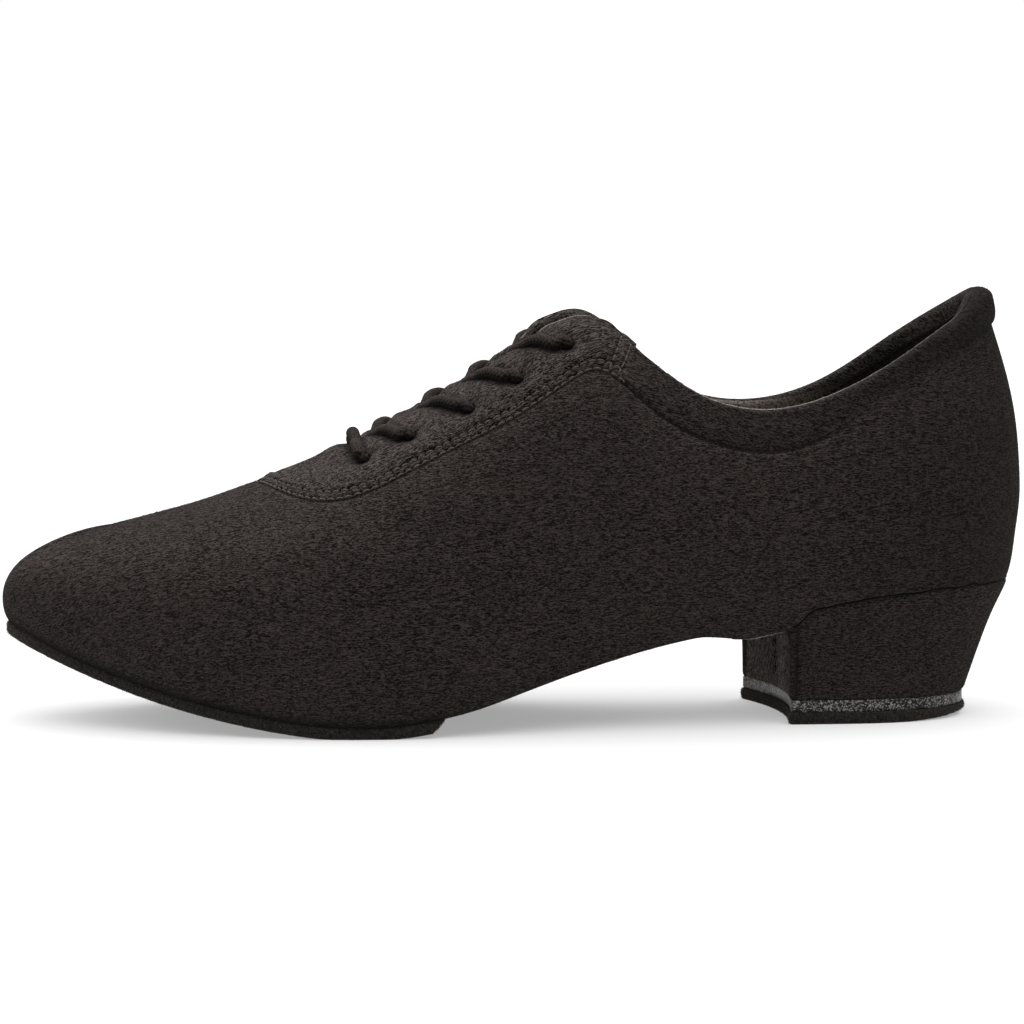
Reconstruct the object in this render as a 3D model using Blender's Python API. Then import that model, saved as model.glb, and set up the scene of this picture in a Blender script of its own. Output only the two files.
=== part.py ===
"""Practice dance shoe for the left foot: napped upper on a split sole, five-row lacing, covered heel.

The shoe lies along X with its toe at -X. Its outer (lateral) side is at -Y and it stands on Z = 0.
Sizes are millimetres. Stations run along the shoe from the back of the heel to the toe.
"""
import math

import bpy
import numpy as np

MM = 0.001
LATERAL, MEDIAL = -1, 1

# Driving sizes
LENGTH = 257.0
MIDDLE = 130.0          # station that every line of the last shares
HEEL_ROUND = 34.0       # length of the rounded heel end
TOE_ROUND = 46.0        # length of the rounded toe end
HEEL_POWER = 2.3
TOE_POWER = 2.0
CENTRE_SHIFT = 0.5      # moves the shoe sideways to the middle of its own box
GAP = 0.3               # clearance where two pieces meet
WALL = 2.0              # upper with its lining
FACING = 0.9            # second layer round the lace holes
FACING_CLEAR = 0.4      # its clearance, a little more for the tight curve at its front
BAND = 1.1              # padded band round the collar
BAND_END = 105.0        # station where the band meets the facing
SEAM_SLIT = 0.5         # space between band and facing
TONGUE = 2.2
TONGUE_ENDS = (107.0, 192.0)
MARGIN = 9.0            # width of the edge that is lasted under
WAIST = (22.0, 172.0)   # between these columns the upper closes underneath
WAIST_BLEND = 8.0
INSOLE = 2.5
INSOLE_INSET = 3.0
SOLE = 2.7
SOLE_PROUD = 0.7
SOLE_START = 149.0
SOLE_BOW = 4.0          # how far the outsole's rear edge curves back
LIFT = 3.4
PLATE = 2.2
LIFT_PROUD = 0.4
BREAST_HOLLOW = 3.6
LACE = 3.0              # diameter of the cord
HOLE = 3.0              # diameter of a lace hole
HOLE_SIDES = 12
HOLE_REACH = 4.0        # how far a hole's cutter reaches on both sides of the wall
LACE_CLEAR = 1.1        # space under a crossing, for the facing's curve
# Each pair of lace holes: station, share of the way from the facing's edge to its seam, and how far forward
# of them their crossing lies
HOLE_ROWS = (
    (166.6, 0.56, 2.0),
    (153.7, 0.48, 10.0),
    (139.4, 0.55, 11.7),
    (127.3, 0.54, 12.4),
    (114.8, 0.49, 13.0),
)
# A crossing on its way from a hole to the throat: share of the lead, and share of the facing's width
LACE_STEPS = ((0.25, 0.44), (0.5, 0.28), (0.75, 0.14))

# Last: height of the bottom, sideways sweep towards the inner side, half widths at the bottom's edge, and the
# height and half widths of the widest line
LAST_COLUMNS = ("station", "bottom", "sweep", "edge_lateral", "edge_medial",
                "wide_height", "wide_lateral", "wide_medial")
LAST_ROWS = (
    (0.0, 33.9, 0.0, 25.0, 25.0, 55.0, 29.0, 29.0),
    (22.0, 33.2, 0.0, 25.5, 25.0, 53.0, 29.5, 29.0),
    (45.0, 30.6, 0.0, 26.0, 24.5, 50.5, 30.0, 29.0),
    (70.0, 25.6, 0.0, 26.5, 22.5, 46.5, 31.0, 28.5),
    (95.0, 20.4, 0.0, 28.0, 21.0, 41.0, 33.0, 29.0),
    (120.0, 13.2, 0.0, 32.0, 23.0, 33.0, 36.5, 31.5),
    (145.0, 5.4, 0.2, 37.0, 28.5, 24.5, 41.0, 35.5),
    (168.0, 2.7, 0.6, 38.5, 34.0, 20.0, 42.5, 39.0),
    (190.0, 4.6, 1.4, 36.0, 35.5, 20.0, 40.0, 39.5),
    (212.0, 9.2, 2.6, 30.5, 31.5, 22.5, 34.5, 35.5),
    (235.0, 16.4, 4.2, 24.5, 25.5, 27.0, 28.5, 29.5),
    (257.0, 25.6, 5.4, 21.0, 22.0, 32.0, 24.0, 25.0),
)
# Opening and ridge: half width, height, lean of the wall from upright, drop from the edge to the trim seam,
# and how much lower the inner side's edge lies
OPENING_COLUMNS = ("station", "half", "height", "lean", "drop", "dip")
OPENING_ROWS = (
    (9.5, 15.0, 108.6, 10.0, 9.5, 0.0),
    (27.0, 19.0, 98.2, 10.0, 9.5, 1.5),
    (45.0, 22.0, 87.2, 13.0, 9.4, 2.6),
    (65.0, 22.8, 79.6, 15.0, 10.8, 0.6),
    (82.0, 21.8, 82.0, 22.0, 11.4, 0.0),
    (97.0, 17.5, 92.6, 36.0, 13.8, 0.0),
    (104.0, 14.2, 99.2, 46.0, 14.0, 0.0),
    (110.0, 11.6, 102.2, 54.0, 13.4, 0.0),
    (118.0, 9.4, 100.6, 60.0, 15.0, 0.0),
    (134.0, 7.6, 90.4, 64.0, 15.4, 0.0),
    (150.0, 6.8, 80.7, 67.0, 15.0, 0.0),
    (166.0, 5.6, 71.9, 72.0, 14.2, 0.0),
    (180.0, 3.2, 64.8, 80.0, 6.4, 0.0),
    (186.0, 1.4, 62.3, 85.0, 2.7, 0.0),
    (190.0, 0.0, 60.8, 90.0, 0.8, 0.0),
    (194.0, 0.0, 59.4, 90.0, 0.0, 0.0),
    (208.0, 0.0, 54.7, 90.0, 0.0, 0.0),
    (228.0, 0.0, 49.3, 90.0, 0.0, 0.0),
)
THROAT_FRONT = 190.0
FACING_FRONT = 194.0
# Heel block: share of the way down, station of its back, stations of the breast's two edges, half width
HEEL_COLUMNS = ("down", "back", "front_lateral", "front_medial", "half")
HEEL_ROWS = (
    (0.0, 3.7, 62.5, 67.5, 25.0),
    (0.3, 6.3, 62.0, 66.8, 24.4),
    (0.65, 9.8, 62.0, 66.5, 23.6),
    (1.0, 13.2, 62.0, 66.5, 23.0),
)
# Stations where each line of the last begins and ends, so that its ends are swept round
RAIL_ENDS = {"edge": (3.4, 253.5), "wide": (0.0, LENGTH), "top": (9.5, 228.0), "spine": (30.0, 226.0)}
# Columns of the last's net per side, and rows between its lines
HEEL_STEPS, MIDDLE_STEPS, TOE_STEPS = 8, 22, 10
UNDER_STEPS, LOW_STEPS, SIDE_STEPS, TRIM_STEPS = 2, 3, 4, 3
ACROSS = 5
ARC = 0.5523            # handle length that makes a cubic curve follow a quarter circle
UPRIGHT_PULL = 0.6      # shorter handle where the wall comes up to the opening upright
SHARE_STEPS = 81        # steps in the search for a height on the wall
WELD = 0.001            # points closer than this are one

LAST = dict(zip(LAST_COLUMNS, np.array(LAST_ROWS).T))
OPENING = dict(zip(OPENING_COLUMNS, np.array(OPENING_ROWS).T))
HEEL = dict(zip(HEEL_COLUMNS, np.array(HEEL_ROWS).T))
UP = np.array((0.0, 0.0, 1.0))

# Colours as linear RGB, with roughness
MATERIALS = {
    "microfibre": ((0.020, 0.016, 0.014), 0.95),
    "facing": ((0.022, 0.018, 0.016), 0.95),
    "lining": ((0.030, 0.027, 0.026), 0.9),
    "suede": ((0.012, 0.011, 0.012), 1.0),
    "clear_plate": ((0.35, 0.35, 0.36), 0.35),
    "cord": ((0.018, 0.015, 0.014), 0.9),
}


def spline(table, column, station):
    """Natural cubic curve through a table's column, held at its end values."""
    xs, ys = table[next(iter(table))], table[column]
    steps = np.diff(xs)
    count = len(xs)
    matrix, right_side = np.eye(count), np.zeros(count)
    for i in range(1, count - 1):
        matrix[i, i - 1:i + 2] = steps[i - 1], 2 * (steps[i - 1] + steps[i]), steps[i]
        right_side[i] = 6 * ((ys[i + 1] - ys[i]) / steps[i] - (ys[i] - ys[i - 1]) / steps[i - 1])
    bend = np.linalg.solve(matrix, right_side)
    x = np.clip(np.asarray(station, float), xs[0], xs[-1])
    k = np.clip(np.searchsorted(xs, x) - 1, 0, count - 2)
    h, before, after = steps[k], x - xs[k], xs[k + 1] - x
    cubic = (bend[k] * after**3 + bend[k + 1] * before**3) / (6 * h)
    straight = (ys[k] / h - bend[k] * h / 6) * after + (ys[k + 1] / h - bend[k + 1] * h / 6) * before
    return cubic + straight


def rounded(share, power):
    """Rise from 0 to 1 like the end of a superellipse."""
    share = np.clip(share, 0, 1)
    return (1 - (1 - share) ** power) ** (1 / power)


def smooth(share):
    share = np.clip(share, 0, 1)
    return share * share * (3 - 2 * share)


def station_on(rail, base):
    """Real station of a line of the last where the net's column is at this base station."""
    back, tip = RAIL_ENDS[rail]
    rear = back + (MIDDLE - back) * base / MIDDLE
    front = MIDDLE + (tip - MIDDLE) * (base - MIDDLE) / (LENGTH - MIDDLE)
    return np.where(base < MIDDLE, rear, front)


def base_at(rail, station):
    """Base station of the column that meets a line of the last at this real station."""
    back, tip = RAIL_ENDS[rail]
    if station < MIDDLE:
        return (station - back) * MIDDLE / (MIDDLE - back)
    return MIDDLE + (station - MIDDLE) * (LENGTH - MIDDLE) / (tip - MIDDLE)


def end_rounding(base):
    return rounded(base / HEEL_ROUND, HEEL_POWER) * rounded((LENGTH - base) / TOE_ROUND, TOE_POWER)


def bottom_height(station):
    return spline(LAST, "bottom", station)


def line_of(rail, base, side, grow=0.0):
    """Points of the bottom's edge or of the widest line, moved outwards or, if negative, inwards."""
    name = "lateral" if side == LATERAL else "medial"
    half = (spline(LAST, rail + "_" + name, base) + grow) * end_rounding(base)
    station = station_on(rail, base) + grow * (2 * base / LENGTH - 1)
    height = bottom_height(station) if rail == "edge" else spline(LAST, "wide_height", base)
    return np.stack([station, spline(LAST, "sweep", station) + side * half, height], -1)


def top_height(station, side):
    """Height of the opening's edge, which dips on the inner side beside the heel."""
    dip = spline(OPENING, "dip", station) if side == MEDIAL else 0
    return spline(OPENING, "height", station) - np.where(station < BAND_END, dip, 0)


def top_line(base, side):
    """Points of the opening's edge, and of the closed ridge in front of it."""
    station = station_on("top", base)
    half = np.maximum(spline(OPENING, "half", station), 0) * rounded(base / HEEL_ROUND, HEEL_POWER)
    half = np.where(station >= THROAT_FRONT, 0, half)
    return np.stack([station, spline(LAST, "sweep", station) + side * half, top_height(station, side)], -1)


def spine_line(base):
    """Middle of the bottom, towards which its edges are turned in."""
    station = station_on("spine", base)
    across = (line_of("edge", base, LATERAL) + line_of("edge", base, MEDIAL))[..., 1] / 2
    return np.stack([station, across, bottom_height(station)], -1)


def bezier(handles, share):
    a, b, c, d = handles
    rest = 1 - share
    return rest**3 * a + 3 * share * rest**2 * b + 3 * share**2 * rest * c + share**3 * d


def wall_handles(base, side):
    """Handles of the wall's two curves in each column: edge to widest line, widest line to opening."""
    edge, wide, top = line_of("edge", base, side), line_of("wide", base, side), top_line(base, side)
    out = (wide - edge) * (1, 1, 0)
    low = (edge, edge + out * ARC, wide - UP * ARC * (wide - edge)[..., 2:], wide)
    inward = (top - wide) * (1, 1, 0)
    reach = np.linalg.norm(inward, axis=-1, keepdims=True)
    inward = inward / np.maximum(reach, 1e-6)
    station = station_on("top", base)
    slope = top_height(station + 0.5, side) - top_height(station - 0.5, side)
    lean = np.radians(spline(OPENING, "lean", station))[..., None]
    rise = (top - wide)[..., 2:]
    climb = UP * inward[..., :1] * slope[..., None]
    tangent = np.sin(lean) * (inward + climb) + np.cos(lean) * UP
    pull = ARC * (reach * np.sin(lean) + UPRIGHT_PULL * rise * np.cos(lean))
    high = (wide, wide + UP * ARC * rise, top - tangent * pull, top)
    return low, high


def drop_share(base, side, drop):
    """Share of the way up the wall's upper curve at which it lies this far below the opening's edge."""
    handles = wall_handles(base, side)[1]
    shares = np.linspace(0, 1, SHARE_STEPS)
    heights = np.stack([bezier(handles, share)[..., 2] for share in shares])
    goal = np.minimum(heights[-1] - drop, heights[-1])
    found = [np.interp(goal[i], np.maximum.accumulate(heights[:, i]), shares) for i in range(len(base))]
    found = np.array(found)
    return np.where(np.asarray(drop) <= 0, 1.0, found)


def seam_drop(base):
    station = station_on("top", base)
    return np.where(station >= FACING_FRONT, 0, np.maximum(spline(OPENING, "drop", station), 0))


def wall_net(base, side):
    """Outer face of one side, as rows of points from the turned-in edge up to the opening."""
    low, high = wall_handles(base, side)
    edge, spine = low[0], spine_line(base)
    span = np.linalg.norm((spine - edge)[..., :2], axis=-1)
    closing = smooth((base - WAIST[0]) / WAIST_BLEND) * smooth((WAIST[1] - base) / WAIST_BLEND)
    turned = np.minimum(MARGIN / np.maximum(span, MARGIN), 1)
    turned = (turned + (1 - turned) * closing)[:, None]
    rows = []
    for share in np.linspace(1, 0, UNDER_STEPS + 1)[:-1]:
        row = edge + (spine - edge) * turned * share
        row[:, 2] = bottom_height(row[:, 0])
        rows.append(row)
    rows += [bezier(low, share) for share in np.linspace(0, 1, LOW_STEPS + 1)]
    seam = drop_share(base, side, seam_drop(base))[:, None]
    rows += [bezier(high, seam * share) for share in np.linspace(0, 1, SIDE_STEPS + 1)[1:]]
    rows += [bezier(high, seam + (1 - seam) * share) for share in np.linspace(0, 1, TRIM_STEPS + 1)[1:]]
    return np.array(rows)


def net_columns():
    """Base stations of the net's columns, closer together at the rounded ends and at the facing's seam."""
    heel = HEEL_ROUND * (1 - np.cos(np.linspace(0, math.pi / 2, HEEL_STEPS + 1)) ** (2 / HEEL_POWER))
    toe = LENGTH - TOE_ROUND * (1 - np.cos(np.linspace(0, math.pi / 2, TOE_STEPS + 1)) ** (2 / TOE_POWER))
    middle = np.linspace(HEEL_ROUND, LENGTH - TOE_ROUND, MIDDLE_STEPS + 1)
    seam = base_at("top", BAND_END)
    middle[np.argmin(abs(middle - seam))] = seam - SEAM_SLIT / 2
    fixed = [seam + SEAM_SLIT / 2, base_at("top", THROAT_FRONT), base_at("top", FACING_FRONT)]
    return np.unique(np.concatenate([heel, middle, toe, fixed]))


def ring(lateral, medial):
    """Joins two sides' nets into one that runs from the heel to the toe and back."""
    return np.concatenate([lateral, medial[:, -2:0:-1]], axis=1)


def placed(points):
    """Shoe millimetres to the scene's metres."""
    station, across, height = np.moveaxis(np.asarray(points, float), -1, 0)
    return np.stack([LENGTH / 2 - station, across + CENTRE_SHIFT, height], -1) * MM


def welded(points, faces):
    """Joins points that coincide and drops the faces that close up."""
    keys = np.round(points / (WELD * MM)).astype(np.int64)
    _, first, index = np.unique(keys, axis=0, return_index=True, return_inverse=True)
    index = index.reshape(-1)
    kept = []
    for face in faces:
        corners = list(dict.fromkeys(int(index[i]) for i in face))
        if len(corners) > 2:
            kept.append(corners)
    return points[first], kept


def net_faces(rows, columns, closed):
    last = columns if closed else columns - 1
    faces = []
    for r in range(rows - 1):
        for c in range(last):
            n = (c + 1) % columns
            faces.append((r * columns + c, (r + 1) * columns + c, (r + 1) * columns + n, r * columns + n))
    return faces


def point_normals(points, faces):
    normals = np.zeros_like(points)
    for face in faces:
        spokes = points[face[1:]] - points[face[0]]
        normals[face] += np.cross(spokes[:-1], spokes[1:]).sum(axis=0)
    return normals / np.maximum(np.linalg.norm(normals, axis=1, keepdims=True), 1e-15)


def add_object(name, points, faces, material):
    mesh = bpy.data.meshes.new(name)
    mesh.from_pydata(points.tolist(), [], faces)
    mesh.validate()
    mesh.shade_smooth()
    mesh.set_sharp_from_angle(angle=math.radians(40))
    if material:
        mesh.materials.append(material)
    made = bpy.data.objects.new(name, mesh)
    bpy.context.collection.objects.link(made)
    return made


def add_shell(name, net, closed, start, thickness, material):
    """Sheet that lies a distance off the net's face, thickened outwards or, if negative, inwards."""
    rows, columns = net.shape[:2]
    points, faces = welded(placed(net).reshape(-1, 3), net_faces(rows, columns, closed))
    points = points + point_normals(points, faces) * start * MM
    made = add_object(name, points, faces, material)
    solid = made.modifiers.new("Thickness", "SOLIDIFY")
    solid.thickness = abs(thickness) * MM
    solid.offset = math.copysign(1, thickness)
    solid.use_even_offset = True
    return made


def add_stack(name, levels, material):
    """Solid through nets that lie one under another: the first and last are its caps."""
    rows, columns = levels[0].shape[:2]
    index = np.arange(rows * columns).reshape(rows, columns)
    border = np.concatenate([index[:, 0], index[-1, 1:], index[-2::-1, -1], index[0, -2:0:-1]])
    size = rows * columns
    cap = net_faces(rows, columns, False)
    faces = [face[::-1] for face in cap] + [[i + size * (len(levels) - 1) for i in face] for face in cap]
    for level in range(len(levels) - 1):
        for here, there in zip(border, np.roll(border, -1)):
            faces.append([size * level + here, size * level + there,
                          size * (level + 1) + there, size * (level + 1) + here])
    points, faces = welded(placed(np.concatenate([g.reshape(-1, 3) for g in levels])), faces)
    return add_object(name, points, faces, material)


def ladder(lateral, medial, height, bow=0.0, bow_at=0):
    """Net of rungs between two edges. The rung at one end may be bowed along the shoe."""
    shares = np.linspace(0, 1, ACROSS)
    net = np.stack([lateral + (medial - lateral) * share for share in shares], 1)
    net[bow_at, :, 0] -= bow * (1 - (2 * shares - 1) ** 2)
    net[..., 2] = height(net[..., 0])
    return net


def add_upper(columns, material):
    net = ring(wall_net(columns, LATERAL), wall_net(columns, MEDIAL))
    return add_shell("upper", net, True, 0.0, -WALL, material)


def trim_rows(net):
    return net[-(TRIM_STEPS + 1):]


def add_facing(columns, material):
    """Facing round the lace holes, closed in a curve in front of the throat."""
    base = columns[(columns > base_at("top", BAND_END)) & (columns <= base_at("top", FACING_FRONT))]
    lateral, medial = trim_rows(wall_net(base, LATERAL)), trim_rows(wall_net(base, MEDIAL))
    net = np.concatenate([lateral, medial[:, -2::-1]], axis=1)
    return add_shell("eyestay", net, False, FACING_CLEAR, FACING, material)


def add_band(columns, material):
    base = columns[columns < base_at("top", BAND_END)]
    lateral, medial = trim_rows(wall_net(base, LATERAL)), trim_rows(wall_net(base, MEDIAL))
    net = np.concatenate([medial[:, ::-1], lateral[:, 1:]], axis=1)
    return add_shell("collar_band", net, False, GAP, BAND, material)


def throat_rows(base):
    """Rows that carry the wall's curve across the open throat."""
    lateral, medial = top_line(base, LATERAL), top_line(base, MEDIAL)
    lean = np.radians(spline(OPENING, "lean", station_on("top", base)))
    crown = (medial - lateral)[:, 1] / np.tan(lean) / 4
    rows = []
    for share in (0.25, 0.5, 0.75):
        row = lateral + (medial - lateral) * share
        row[:, 2] += crown * (1 - (2 * share - 1) ** 2)
        rows.append(row)
    return np.array(rows)


def add_tongue(columns, material):
    ends = [base_at("top", station) for station in TONGUE_ENDS]
    base = columns[(columns > ends[0]) & (columns < ends[1])]
    lateral, medial = trim_rows(wall_net(base, LATERAL)), trim_rows(wall_net(base, MEDIAL))
    net = np.concatenate([lateral, throat_rows(base), medial[::-1]])
    return add_shell("tongue", net, False, -(WALL + 2 * GAP), -TONGUE, material)


def add_insole(columns, material):
    lateral = line_of("edge", columns, LATERAL, -INSOLE_INSET)
    medial = line_of("edge", columns, MEDIAL, -INSOLE_INSET)
    low = ladder(lateral, medial, lambda s: bottom_height(s) + WALL + GAP)
    high = ladder(lateral, medial, lambda s: bottom_height(s) + WALL + GAP + INSOLE)
    return add_stack("insole", [high, low], material)


def add_outsole(columns, material):
    base = np.concatenate([[SOLE_START], columns[columns > SOLE_START + 2]])
    lateral = line_of("edge", base, LATERAL, SOLE_PROUD)
    medial = line_of("edge", base, MEDIAL, SOLE_PROUD)
    high = ladder(lateral, medial, lambda s: bottom_height(s) - GAP, SOLE_BOW)
    low = ladder(lateral, medial, lambda s: np.maximum(bottom_height(s) - GAP - SOLE, 0), SOLE_BOW)
    return add_stack("forefoot_outsole", [high, low], material)


def heel_net(down, height, grow=0.0):
    """Plan of the heel at a share of the way down: round at the back, hollowed at the breast."""
    back = spline(HEEL, "back", down) - grow
    half = spline(HEEL, "half", down) + grow
    shares = 1 - np.cos(np.linspace(0, math.pi / 2, HEEL_STEPS + 1)) ** (2 / HEEL_POWER)
    sides = []
    for side, name in ((LATERAL, "front_lateral"), (MEDIAL, "front_medial")):
        front = spline(HEEL, name, down) + grow
        station = np.concatenate([back + HEEL_ROUND * shares, np.linspace(back + HEEL_ROUND, front, 4)[1:]])
        width = half * rounded((station - back) / HEEL_ROUND, HEEL_POWER)
        sides.append(np.stack([station, side * width, station * 0], -1))
    return ladder(sides[0], sides[1], height, BREAST_HOLLOW, -1)


def add_heel(materials):
    """Covered block, clear plate and lift, one under another."""
    bottom = LIFT + PLATE + 2 * GAP
    levels = []
    for down in HEEL["down"]:
        levels.append(heel_net(down, lambda s, d=down: (bottom_height(s) - GAP) * (1 - d) + bottom * d))
    block = add_stack("heel_block", levels, materials["microfibre"])
    plate = [heel_net(1.0, lambda s, z=z: s * 0 + z) for z in (LIFT + PLATE + GAP, LIFT + GAP)]
    lift = [heel_net(1.0, lambda s, z=z: s * 0 + z, LIFT_PROUD) for z in (LIFT, 0.0)]
    return [block, add_stack("heel_plate", plate, materials["clear_plate"]),
            add_stack("heel_lift", lift, materials["suede"])]


def facing_point(station, side, share):
    """Spot of the facing at a station, a share of the way from its edge to its seam, and the way out."""
    def at(column, part):
        base = np.array([column])
        seam = drop_share(base, side, seam_drop(base))[:, None]
        return bezier(wall_handles(base, side)[1], 1 - (1 - seam) * part)[0]

    column = base_at("top", station)
    for _ in range(8):
        column += station - at(column, share)[0]
    along = at(column + 0.5, share) - at(column - 0.5, share)
    upward = at(column, share - 0.05) - at(column, share + 0.05)
    outward = np.cross(along, upward) * -side
    return at(column, share), outward / np.linalg.norm(outward)


def lace_route(row):
    """One crossing: from a lace hole over the facing and the throat to the hole on the other side."""
    station, hole_share, lead = HOLE_ROWS[row]
    lift = FACING_CLEAR + FACING + LACE_CLEAR + LACE / 2
    steps = ((0.0, hole_share), *LACE_STEPS)
    sides = []
    for side in (LATERAL, MEDIAL):
        spots = [facing_point(station + lead * ahead, side, share) for ahead, share in steps]
        sides.append([point + outward * lift for point, outward in spots])
    base = np.array([base_at("top", station + lead)])
    centre = (top_line(base, LATERAL) + top_line(base, MEDIAL))[0] / 2 + UP * lift
    return np.array(sides[0] + [centre] + sides[1][::-1])


def add_hole_cutters():
    """Short round bars that cut the lace holes, one mesh for both sides."""
    turns = np.arange(HOLE_SIDES) * 2 * math.pi / HOLE_SIDES
    points, faces = [], []
    for station, share, _ in HOLE_ROWS:
        for side in (LATERAL, MEDIAL):
            middle, axis = facing_point(station, side, share)
            first = np.cross(axis, (1.0, 0.0, 0.0))
            first /= np.linalg.norm(first)
            circle = np.outer(np.cos(turns), first) + np.outer(np.sin(turns), np.cross(axis, first))
            start = 2 * HOLE_SIDES * (len(points) // 2)
            points += [middle + circle * HOLE / 2 + axis * reach for reach in (-HOLE_REACH, HOLE_REACH)]
            low = [start + i for i in range(HOLE_SIDES)]
            high = [i + HOLE_SIDES for i in low]
            faces += [low, high[::-1]]
            for i in range(HOLE_SIDES):
                j = (i + 1) % HOLE_SIDES
                faces.append([low[i], high[i], high[j], low[j]])
    made = add_object("lace_hole_cutters", placed(np.concatenate(points)), faces, None)
    made.hide_render = True
    made.display_type = "WIRE"
    return made


def cut(made, cutters):
    boolean = made.modifiers.new("Lace holes", "BOOLEAN")
    boolean.operation = "DIFFERENCE"
    boolean.solver = "EXACT"
    boolean.object = cutters


def smooth_route(points, per_span):
    """Points along a smooth curve through the route."""
    padded = np.concatenate([[2 * points[0] - points[1]], points, [2 * points[-1] - points[-2]]])
    made = []
    for a, b, c, d in zip(padded, padded[1:], padded[2:], padded[3:]):
        for share in np.arange(per_span) / per_span:
            made.append(b + share * (c - a) / 2 + share**2 * (2 * a - 5 * b + 4 * c - d) / 2
                        + share**3 * (3 * b - a - 3 * c + d) / 2)
    return np.array(made + [points[-1]])


def add_lace(row, material):
    name = "lace_%d" % (row + 1)
    curve = bpy.data.curves.new(name, "CURVE")
    curve.dimensions = "3D"
    curve.bevel_depth = LACE / 2 * MM
    curve.bevel_resolution = 2
    curve.use_fill_caps = True
    points = placed(smooth_route(lace_route(row), 3))
    line = curve.splines.new("POLY")
    line.points.add(len(points) - 1)
    for spot, point in zip(line.points, points):
        spot.co = (*point, 1.0)
    curve.materials.append(material)
    made = bpy.data.objects.new(name, curve)
    bpy.context.collection.objects.link(made)
    return made


def add_materials():
    made = {}
    for name, (colour, roughness) in MATERIALS.items():
        material = bpy.data.materials.new(name)
        material.use_nodes = True
        shader = material.node_tree.nodes["Principled BSDF"]
        shader.inputs["Base Color"].default_value = (*colour, 1.0)
        shader.inputs["Roughness"].default_value = roughness
        shader.inputs["Metallic"].default_value = 0.0
        made[name] = material
    return made


def main():
    for old in list(bpy.data.objects):
        bpy.data.objects.remove(old, do_unlink=True)
    materials = add_materials()
    columns = net_columns()
    cutters = add_hole_cutters()
    cut(add_upper(columns, materials["microfibre"]), cutters)
    cut(add_facing(columns, materials["facing"]), cutters)
    add_band(columns, materials["facing"])
    add_tongue(columns, materials["lining"])
    add_insole(columns, materials["lining"])
    add_outsole(columns, materials["suede"])
    add_heel(materials)
    for row in range(len(HOLE_ROWS)):
        add_lace(row, materials["cord"])


main()
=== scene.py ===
# %% [markdown]
# # Practice dance shoe
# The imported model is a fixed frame: its solids say where each piece of the shoe sits. This lesson dresses that
# frame with the napped upper, its trims, seams, lace and soles, and lights it like a plain catalogue picture.

# %% Load the frame
import math

import bpy
import numpy as np
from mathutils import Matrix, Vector, noise
from mathutils.kdtree import KDTree


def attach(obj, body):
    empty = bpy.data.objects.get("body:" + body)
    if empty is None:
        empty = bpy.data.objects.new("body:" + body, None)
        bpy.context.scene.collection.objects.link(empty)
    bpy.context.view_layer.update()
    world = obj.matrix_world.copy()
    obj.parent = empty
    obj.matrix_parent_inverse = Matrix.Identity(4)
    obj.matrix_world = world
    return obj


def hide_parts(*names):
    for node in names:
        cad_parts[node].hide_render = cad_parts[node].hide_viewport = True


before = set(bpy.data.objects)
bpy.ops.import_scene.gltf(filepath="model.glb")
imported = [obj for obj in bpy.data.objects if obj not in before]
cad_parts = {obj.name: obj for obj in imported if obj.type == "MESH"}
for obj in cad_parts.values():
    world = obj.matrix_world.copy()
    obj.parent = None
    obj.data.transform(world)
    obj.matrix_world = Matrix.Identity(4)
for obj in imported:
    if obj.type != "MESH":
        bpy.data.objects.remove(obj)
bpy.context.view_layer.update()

# %% [markdown]
# ## Camera
# The photograph looks at the outer side from a little in front and a little above, with a long lens. A camera is
# easiest to place by what it looks at: a target, two angles and a distance.

# %% Place the camera
MM = 0.001
VIEW_AZIMUTH, VIEW_ELEVATION = -5.0, 5.3       # degrees
VIEW_DISTANCE = 900.0                          # mm from the target
VIEW_TARGET = (0.0, 0.0, 51.7)                 # mm
VIEW_WIDTH = 258.6                             # mm across the picture at the target
SENSOR = 36.0                                  # mm


def view_direction(azimuth, elevation):
    a, e = math.radians(azimuth), math.radians(elevation)
    return Vector((math.sin(a) * math.cos(e), -math.cos(a) * math.cos(e), math.sin(e)))


camera_data = bpy.data.cameras.new("camera")
camera_data.sensor_width = SENSOR
camera_data.lens = SENSOR * VIEW_DISTANCE / VIEW_WIDTH
camera = bpy.data.objects.new("camera", camera_data)
bpy.context.scene.collection.objects.link(camera)
away = view_direction(VIEW_AZIMUTH, VIEW_ELEVATION)
camera.location = (Vector(VIEW_TARGET) + away * VIEW_DISTANCE) * MM
camera.rotation_euler = (-away).to_track_quat("-Z", "Y").to_euler()
bpy.context.scene.camera = camera
print("camera lens", round(camera_data.lens, 1), "mm")

# %% [markdown]
# ## The last
# A shoe is pulled over a last, so every piece follows the last's lines. They are smooth curves through short
# tables, in millimetres: stations run from the back of the heel to the toe. The same tables made the solids, so
# what is built here lies on them.

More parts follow.
